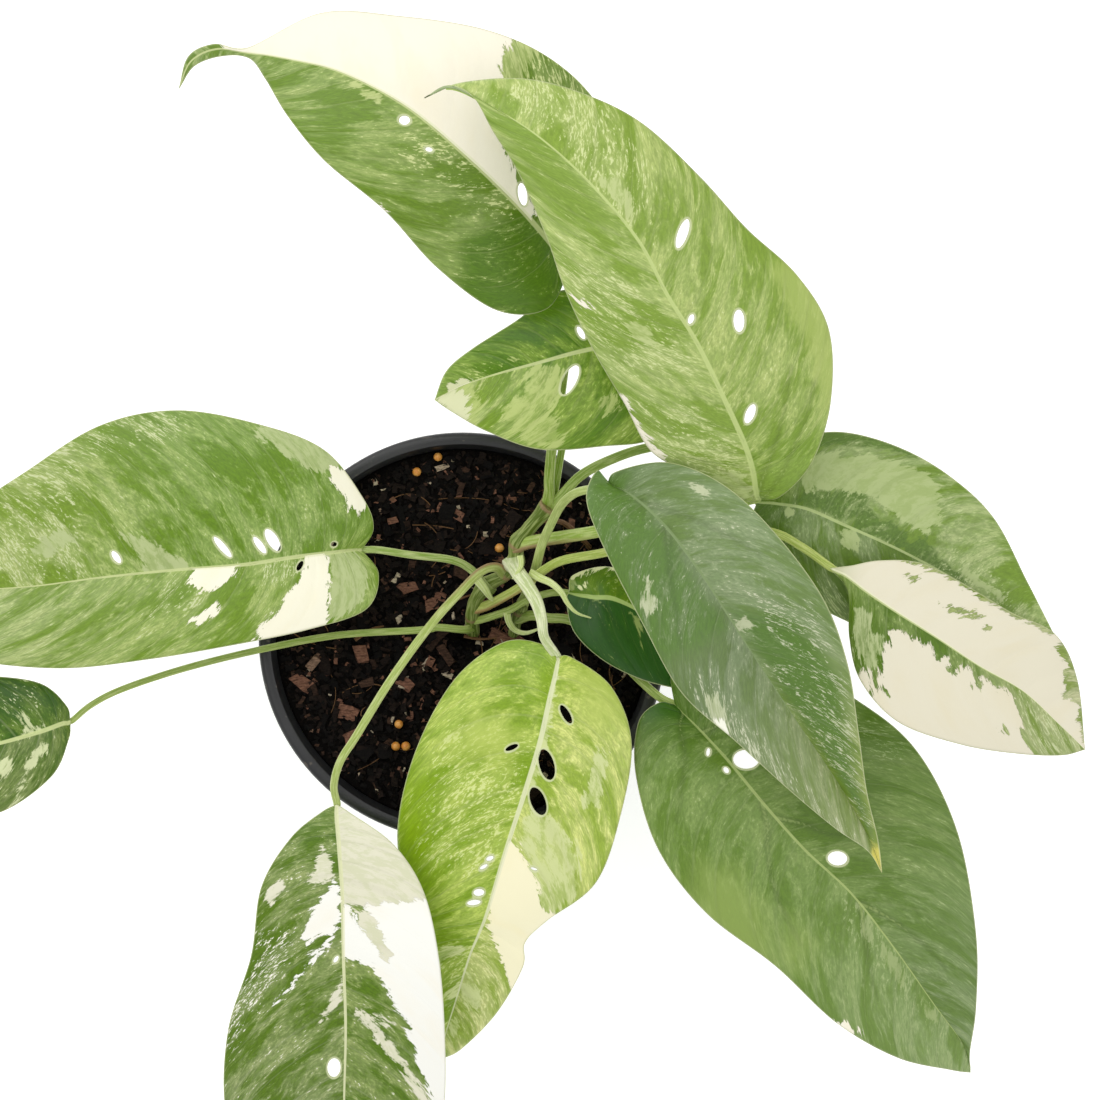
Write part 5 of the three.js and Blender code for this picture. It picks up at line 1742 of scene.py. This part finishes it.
def turning_rule():
    """Turns a profile, drawn as (radius - turning radius, -height), round the upright axis."""
    rule = Growth(
        "turn_profile", Profile="Geometry", Sides="Int", Turning_radius="Float", Skin="Material")
    given = rule.given
    line = rule.node("GeometryNodeMeshToCurve", given["Profile"])
    circle = rule.node(
        "GeometryNodeCurvePrimitiveCircle", Resolution=given["Sides"],
        Radius=given["Turning radius"])
    turned = rule.node("GeometryNodeCurveToMesh", Curve=circle, Profile_Curve=line)
    welded = rule.node("GeometryNodeMergeByDistance", Geometry=turned, Distance=WELD)
    return rule.close(rule.node("GeometryNodeFlipFaces", welded))


def outward_volume(piece):
    held = bmesh.new()
    held.from_mesh(piece.data)
    volume = held.calc_volume(signed=True)
    held.free()
    return volume


def turned(name, profile, radius, sides, skin):
    drawn = [(r - radius, -z, 0) for r, z in profile]
    mesh = new_mesh(name, drawn, edges=[(k, k + 1) for k in range(len(drawn) - 1)])
    piece = new_object(name, mesh)
    grown(piece, turning_rule(), Sides=sides, Turning_radius=radius * MM, Skin=skin)
    if outward_volume(piece) < 0:
        piece.data.flip_normals()
    return piece


print("pot profile:", len(POT_PROFILE), "points")

# %% [markdown]
# ## Plastic and drain holes
#
# The plastic is satin, with dust and dried splashes near the rim. Six drain holes are cut through
# the floor with cylinders, and edges sharper than a few degrees stay sharp under the smooth
# shading.

# %% Pot
DRAIN_HOLES = 6
DRAIN_RADIUS = 4
DRAIN_CIRCLE = 42
DRAIN_SIDES = 28
DRILL_LENGTH = 12
SHARPEST_SMOOTH_TURN = 32


def pot_finish():
    paint = Recipe("black_pot_plastic")
    place = paint.object_place()
    grain = paint.noise(place, 900.0, 2.0)
    cloud = paint.noise(place, 28.0, 4.0, 0.6)
    scuff = paint.noise(paint.stretched(place, 1.0, 1.0, 6.0), 140.0, 3.0, 0.65, 0.4)
    _, _, z = paint.split(place)
    colour = paint.mix(paint.step(cloud, 0.35, 0.7), (.011, .011, .012, 1), (.020, .020, .021, 1))
    dust = paint.times(paint.step(scuff, 0.60, 0.72), paint.step(cloud, 0.45, 0.65))
    colour = paint.mix(paint.times(dust, 0.35), colour, (.13, .115, .10, 1))
    splash = paint.times(paint.step(z, 0.1485, 0.1500), paint.step(scuff, 0.62, 0.68))
    colour = paint.mix(paint.times(splash, 0.4), colour, (.16, .13, .10, 1))
    roughness = paint.math("ADD", paint.step(cloud, 0.3, 0.7, 0.34, 0.46), paint.times(dust, 0.25))
    return paint.finish(colour, roughness, paint.total(grain, paint.times(scuff, 0.6)), 0.00008)


def drills():
    held = bmesh.new()
    for k in range(DRAIN_HOLES):
        turn = 2 * math.pi * k / DRAIN_HOLES
        ring = bmesh.ops.create_cone(
            held, cap_ends=True, segments=DRAIN_SIDES, radius1=DRAIN_RADIUS * MM,
            radius2=DRAIN_RADIUS * MM, depth=DRILL_LENGTH * MM)
        middle = (DRAIN_CIRCLE * math.cos(turn), DRAIN_CIRCLE * math.sin(turn), FLOOR / 2)
        bmesh.ops.translate(held, verts=ring["verts"], vec=Vector(middle) * MM)
    return new_object("drills", mesh_from("drills", held))


pot = turned("moulded_pot", POT_PROFILE, RIM_RADIUS, POT_SIDES, pot_finish())
cutter = drills()
drilling = pot.modifiers.new("drain_holes", "BOOLEAN")
drilling.operation = "DIFFERENCE"
drilling.solver = "EXACT"
drilling.object = cutter
settle(pot)
bpy.data.objects.remove(cutter)
pot.data.shade_smooth()
pot.data.set_sharp_from_angle(angle=math.radians(SHARPEST_SMOOTH_TURN))
stand_in(pot, "pot")
print("plastic volume in ml:", round(outward_volume(pot) * 1e6, 1))

# %% [markdown]
# ## The soil's surface
#
# The mix is filled in by hand and watered, so its top is lumpy. The packed soil's lumps come from
# a short fixed sequence of numbers. The same sequence is run here, so the fine surface follows
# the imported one, and whatever lies on the soil can ask for its height.

# %% Soil surface
SOIL_LUMPS = 46
SOIL_SEED = 7
SEQUENCE_FACTOR, SEQUENCE_LIMIT = 16807, 2147483647
SOIL_CLEARANCE = 0.3
SOIL_RINGS = 56
SOIL_SIDES = 144
soil_radius = inside_radius(SOIL_TOP) - SOIL_CLEARANCE


def soil_lumps():
    """The lumps of the packed soil, from the same fixed sequence."""
    state, lumps = SOIL_SEED, []

    def draw():
        nonlocal state
        state = (state * SEQUENCE_FACTOR) % SEQUENCE_LIMIT
        return state / SEQUENCE_LIMIT

    for _ in range(SOIL_LUMPS):
        turn, distance = 2 * math.pi * draw(), soil_radius * math.sqrt(draw())
        size, height = 4 + 5 * draw(), -1 + 3 * draw()
        lumps.append((distance * math.cos(turn), distance * math.sin(turn), size, height))
    return lumps


LUMPS = soil_lumps()


def soil_height(x, y):
    rise = np.zeros(np.shape(x))
    for lump_x, lump_y, size, height in LUMPS:
        rise += height * np.exp(-((x - lump_x) ** 2 + (y - lump_y) ** 2) / size**2)
    fade = np.clip(1 - (np.hypot(x, y) / soil_radius) ** 6, 0, 1)
    return SOIL_TOP + rise * fade


def soil_height_at(x, y):
    return float(soil_height(np.array([x]), np.array([y]))[0])


print("soil in the middle is", round(soil_height_at(0, 0), 1), "mm above the floor")

# %% [markdown]
# ## Bark, crumbs and fertiliser
#
# The mix is nearly black when it is damp. What gives it life are bark chips in every shade from
# black to straw: each chip carries one random number, and the finish reads it as the chip's own
# shade.


# %% Soil finishes
def soil_finish():
    paint = Recipe("bark_mix")
    place = paint.object_place()
    crumbs = paint.noise(place, 420.0, 4.0, 0.7)
    cloud = paint.noise(place, 90.0, 3.0, 0.6)
    black, brown = (.0022, .0017, .0014, 1), (.011, .007, .005, 1)
    colour = paint.mix(paint.step(crumbs, 0.5, 0.75), black, brown)
    relief = paint.total(crumbs, cloud)
    return paint.finish(colour, 0.92, relief, 0.0012, Specular_IOR_Level=0.08)


def chip_finish():
    paint = Recipe("bark_chips")
    shade = paint.read_number("chip_shade")
    fibre = paint.noise(paint.stretched(paint.object_place(), 1.0, 3.0, 1.0), 500.0, 3.0, 0.7)
    colour = (.0026, .0019, .0016, 1)
    for low, high, tone in (
        (0.3, 0.85, (.010, .006, .0043, 1)), (0.84, 0.90, (.042, .022, .014, 1)),
        (0.935, 0.945, (.135, .064, .041, 1)), (0.982, 0.992, (.34, .28, .20, 1)),
    ):
        colour = paint.mix(paint.step(shade, low, high), colour, tone)
    colour = paint.shade(colour, paint.step(fibre, 0.3, 0.7, 0.5, 1.6))
    return paint.finish(colour, 0.8, fibre, 0.0004, Specular_IOR_Level=0.12)


def prill_finish():
    paint = Recipe("fertiliser_prill")
    cloud = paint.noise(paint.object_place(), 500.0, 3.0)
    colour = paint.mix(paint.step(cloud, 0.35, 0.7), pigment(.62, .24, .05), pigment(.80, .42, .12))
    return paint.finish(colour, 0.45, cloud, 0.00015)


bark = chip_finish()
print("bark, mix and prill finishes ready")

# %% [markdown]
# ## The body of the mix
#
# The mix fills the pot, so its body is closed: rings of points for the top, a ring on the pot's
# floor and a middle below. Random crumbs roughen the top, but not where it meets the wall of the
# pot.


# %% Soil body
def ring_faces(first, rings, sides):
    """The quads between rings of points, the inmost ring starting at point number first."""
    faces = []
    for a in range(first, first + rings * sides, sides):
        b = a + sides
        faces += [(a + k, b + k, b + (k + 1) % sides, a + (k + 1) % sides) for k in range(sides)]
    return faces


def ring_places(radii, sides):
    turns = np.linspace(0, 2 * np.pi, sides, endpoint=False)
    return np.outer(radii, np.cos(turns)).ravel(), np.outer(radii, np.sin(turns)).ravel()


def soil_body():
    x, y = ring_places(soil_radius * np.linspace(0, 1, SOIL_RINGS + 1)[1:], SOIL_SIDES)
    crumbs = np.random.default_rng(11).normal(0, 0.35, len(x)) * (np.hypot(x, y) < soil_radius - 1)
    top = np.column_stack([x, y, soil_height(x, y) + crumbs])
    low = FLOOR + SOIL_CLEARANCE
    low_x, low_y = ring_places([inside_radius(low) - SOIL_CLEARANCE], SOIL_SIDES)
    foot = np.column_stack([low_x, low_y, np.full(SOIL_SIDES, low)])
    points = np.vstack([[[0, 0, soil_height_at(0, 0)]], top, foot, [[0, 0, low]]])
    around = [(k, (k + 1) % SOIL_SIDES) for k in range(SOIL_SIDES)]
    faces = [(0, 1 + k, 1 + after) for k, after in around]
    faces += ring_faces(1, SOIL_RINGS, SOIL_SIDES)
    foot_starts = 1 + SOIL_RINGS * SOIL_SIDES
    faces += [(foot_starts + after, foot_starts + k, len(points) - 1) for k, after in around]
    mesh = new_mesh("bark_mix", points, faces=faces)
    mesh.shade_smooth()
    return new_object("bark_mix", mesh, soil_finish())


body = soil_body()
print("soil body:", triangles(body), "triangles")

# %% [markdown]
# ## Scattered chips
#
# Bark chips are flat, torn little blocks that lie every way. A growth rule scatters one bent box
# over a patch of ground, each copy with its own size, turn and shade from a fixed seed. A chip
# has only a few faces, because there are thousands.

# %% Chips of bark
LEAST_TURN, MOST_TURN = (-0.5, -0.5, 0), (0.5, 0.5, 6.283)
LEAST_SHARE, MOST_SHARE = (0.5, 0.3, 0.16), (1.6, 0.9, 0.42)
CHIP_GROUND_SIDES, CHIP_GROUND_RINGS = 48, 16


def litter_rule():
    """Scatters bark chips over the given patch of ground."""
    rule = Growth(
        "scatter_bark", Ground="Geometry", Chips_per_m2="Float", Chip_size="Float", Seed="Int",
        Skin="Material")
    given = rule.given
    spread = rule.node(
        "GeometryNodeDistributePointsOnFaces", Mesh=given["Ground"], Density=given["Chips per m2"],
        Seed=given["Seed"])
    place = rule.node("GeometryNodeInputPosition")
    rough = rule.node("ShaderNodeTexNoise", Vector=place, Scale=1.3)
    middle = (0.5, 0.5, 0.5)
    bend = rule.node("ShaderNodeVectorMath", rough.outputs["Color"], middle, operation="SUBTRACT")
    chip = rule.node("GeometryNodeMeshCube", Size=(1, 1, 1), Vertices_X=3, Vertices_Y=3)
    bent = rule.node("GeometryNodeSetPosition", Geometry=chip.outputs["Mesh"], Offset=bend)
    turn = rule.node(
        "FunctionNodeRandomValue", data_type="FLOAT_VECTOR", Min=LEAST_TURN, Max=MOST_TURN,
        Seed=given["Seed"])
    share = rule.node(
        "FunctionNodeRandomValue", data_type="FLOAT_VECTOR", Min=LEAST_SHARE, Max=MOST_SHARE)
    size = rule.node(
        "ShaderNodeVectorMath", share.outputs["Value"], operation="SCALE", Scale=given["Chip size"])
    put = rule.node(
        "GeometryNodeInstanceOnPoints", Points=spread.outputs["Points"], Instance=bent,
        Rotation=turn.outputs["Value"], Scale=size)
    shade = rule.node("FunctionNodeRandomValue", data_type="FLOAT")
    kept = rule.node(
        "GeometryNodeStoreNamedAttribute", domain="INSTANCE", Name="chip_shade",
        Geometry=put, Value=shade.outputs[1])
    return rule.close(kept)


scatter_bark = litter_rule()


def chips(name, density, size, seed, reach):
    x, y = ring_places(np.linspace(0, reach, CHIP_GROUND_RINGS)[1:], CHIP_GROUND_SIDES)
    faces = ring_faces(0, CHIP_GROUND_RINGS - 2, CHIP_GROUND_SIDES)
    ground = new_mesh(name, np.column_stack([x, y, soil_height(x, y) + 0.3]), faces=faces)
    return grown(
        new_object(name, ground), scatter_bark, Chips_per_m2=density, Chip_size=size * MM,
        Seed=seed, Skin=bark)


litter = [
    chips("crumbs", 205000, 1.9, 20, soil_radius - 1.5),
    chips("small_chips", 60000, 3.4, 21, soil_radius - 3),
    chips("large_chips", 5000, 7.0, 22, soil_radius - 6),
]
print("scattered chips:", sum(triangles(piece) for piece in litter), "triangles")

# %% [markdown]
# ## What the photo shows on the soil
#
# A few things are large enough to be known by their place: the orange fertiliser prills, the
# largest chips and some twigs. Each is written as its pixel, and a chip also as its size in mm,
# its turn and its shade. Fine fibres are strewn between them by a fixed seed.

# %% Prills, chips and twigs
PRILLS_IN_PHOTO = [
    (438, 457), (417, 472), (499.5, 548), (544, 454), (399, 724), (396, 746), (406, 746),
]
PRILL_RADIUS = 1.9
PRILL_STANDS = 0.7
CHIPS_IN_PHOTO = [(408, 588, 7.5, .4, .945), (362, 655, 7.0, 1.9, .945), (314, 663, 5.5, .9, .985),
    (302, 683, 8.5, 2.5, .955), (367, 683, 5.0, .3, .9), (446, 655, 7.0, 2.2, .9),
    (430, 662, 4.5, 1.2, .955), (352, 735, 7.0, .5, .945), (520, 640, 5.0, 2.7, .955),
    (392, 521, 4.0, .2, .955), (478, 735, 5.5, 1.4, .9), (325, 590, 6.0, 2.0, .9)]
CHIP_WIDTH_SHARE, CHIP_THICKNESS, CHIP_TILT = 0.6, 2.2, (0.12, 0.1)
TWIGS_IN_PHOTO = [
    ((464, 636), (480, 639), (497, 638)), ((446, 603), (462, 598), (474, 594)),
    ((355, 640), (372, 629), (384, 626)),
]


def prills():
    held = bmesh.new()
    for k, (px, py) in enumerate(PRILLS_IN_PHOTO):
        x, y = from_photo(px, py, SOIL_TOP)
        z = soil_height_at(x, y) + PRILL_RADIUS * PRILL_STANDS
        radius = PRILL_RADIUS * MM * (0.95 + 0.03 * (k % 4))
        ball = bmesh.ops.create_icosphere(held, subdivisions=3, radius=radius)
        bmesh.ops.translate(held, verts=ball["verts"], vec=Vector((x, y, z)) * MM)
    mesh = mesh_from("prills", held)
    mesh.shade_smooth()
    return new_object("prills", mesh, prill_finish())


def named_chips():
    """The larger chips that the photo shows: bent boxes at their pixels."""
    held = bmesh.new()
    shades = []
    for k, (px, py, size, turn, shade) in enumerate(CHIPS_IN_PHOTO):
        x, y = from_photo(px, py, SOIL_TOP)
        box = bmesh.ops.create_cube(held, size=1.0)["verts"]
        rng = np.random.default_rng(60 + k)
        for corner in box:
            corner.co += Vector(rng.uniform(-0.2, 0.2, 3))
            long, wide, thick = corner.co
            corner.co = Vector(
                (long * size, wide * size * CHIP_WIDTH_SHARE, thick * CHIP_THICKNESS))
        lie = Euler((*CHIP_TILT, turn)).to_matrix()
        bmesh.ops.rotate(held, verts=box, cent=(0, 0, 0), matrix=lie)
        bmesh.ops.translate(held, verts=box, vec=Vector((x, y, soil_height_at(x, y) + 1.0)))
        bmesh.ops.scale(held, verts=box, vec=(MM, MM, MM))
        shades += [shade] * len(box)
    mesh = mesh_from("named_chips", held)
    store(mesh, "chip_shade", shades)
    return new_object("named_chips", mesh, bark)


def twigs():
    lines = []
    for points in TWIGS_IN_PHOTO:
        places = [(*from_photo(px, py, SOIL_TOP + 2), SOIL_TOP + 2.5) for px, py in points]
        lines.append((through(places, np.linspace(0, 1, 20)), np.linspace(0.8, 0.3, 20)))
    return tube("twigs", lines, root_finish, sides=6)


def fibres(count, seed):
    rng = np.random.default_rng(seed)
    lines = []
    for _ in range(count):
        turn, distance = rng.uniform(0, 2 * np.pi), soil_radius * 0.93 * math.sqrt(rng.uniform())
        length, heading = rng.uniform(6, 22), rng.uniform(0, 2 * np.pi)
        bend = rng.uniform(-1.2, 1.2)
        t = np.linspace(0, 1, 12)
        x = distance * math.cos(turn) + length * (t - 0.5) * np.cos(heading + bend * t)
        y = distance * math.sin(turn) + length * (t - 0.5) * np.sin(heading + bend * t)
        keep = np.hypot(x, y) < soil_radius - 2
        if keep.sum() < 4:
            continue
        x, y = x[keep], y[keep]
        z = soil_height(x, y) + 1.0 + 0.9 * np.sin(np.linspace(0, 5, len(x)) + turn)
        lines.append((np.column_stack([x, y, z]), np.full(len(x), rng.uniform(0.12, 0.3))))
    return tube("fibres", lines, root_finish, sides=5)


soil = join(body, *litter, prills(), named_chips(), twigs(), fibres(60, 23))
stand_in(soil, "soil")

# %% [markdown]
# ## Floor and light
#
# The photo is a plant on pure white, lit softly from all round. A pale floor that glows a little,
# two large soft lamps and a white room do the same without hard shadows.

# %% Floor and light
FLOOR_REACH = 5000
FLOOR_GAP = 0.5
FLOOR_GLOW = 0.45
ROOM_LIGHT = 0.75
PLANT_MIDDLE = (0, 0, 0.15)
SOFT_SIZE = 2.6


def floor_finish():
    paint = Recipe("white_floor")
    surface = paint.node("ShaderNodeBsdfDiffuse", (0.9, 0.9, 0.9, 1))
    glow = paint.node("ShaderNodeEmission", (1, 1, 1, 1), FLOOR_GLOW)
    both = paint.node("ShaderNodeAddShader", surface, glow)
    paint.node("ShaderNodeOutputMaterial", both)
    return paint.material


def soft_light(name, place, power):
    lamp = bpy.data.lights.new(name, "AREA")
    lamp.shape = "SQUARE"
    lamp.size = SOFT_SIZE
    lamp.energy = power
    holder = bpy.data.objects.new(name, lamp)
    bpy.context.collection.objects.link(holder)
    holder.location = place
    aim = Vector(PLANT_MIDDLE) - Vector(place)
    holder.rotation_euler = aim.to_track_quat("-Z", "Y").to_euler()


signs = (-1, -1), (1, -1), (1, 1), (-1, 1)
corners = [(x * FLOOR_REACH, y * FLOOR_REACH, -FLOOR_GAP) for x, y in signs]
floor = new_object("floor", new_mesh("floor", corners, faces=[(0, 1, 2, 3)]), floor_finish())
world = bpy.data.worlds.new("white_room")
world.use_nodes = True
background = world.node_tree.nodes["Background"]
background.inputs["Color"].default_value = (1, 1, 1, 1)
background.inputs["Strength"].default_value = ROOM_LIGHT
bpy.context.scene.world = world
soft_light("key_light", (-1.1, 1.2, 2.3), 39)
soft_light("fill_light", (1.4, -0.9, 2.2), 17)
print("floor, room and two soft lamps")

# %% [markdown]
# ## Camera
#
# The plant is seen straight from above through a long lens. The camera's place comes from the
# pot's rim, an exact circle in the photo, and from how much larger the high leaves look.

# %% Camera
SENSOR_WIDTH = 36
lens = bpy.data.cameras.new("camera")
lens.sensor_width = SENSOR_WIDTH
lens.lens = SENSOR_WIDTH * FOCAL_PIXELS / PHOTO_SIDE
camera = bpy.data.objects.new("camera", lens)
bpy.context.collection.objects.link(camera)
camera.location = (CAMERA_X * MM, CAMERA_Y * MM, CAMERA_Z * MM)
bpy.context.scene.camera = camera
bpy.context.scene.view_settings.view_transform = "Standard"
print("camera above", [round(v, 4) for v in camera.location])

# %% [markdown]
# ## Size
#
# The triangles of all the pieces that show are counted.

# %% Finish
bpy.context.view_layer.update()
shown = [piece for piece in bpy.data.objects if piece.type == "MESH" and piece.visible_get()]
print("all triangles", sum(triangles(piece) for piece in shown))
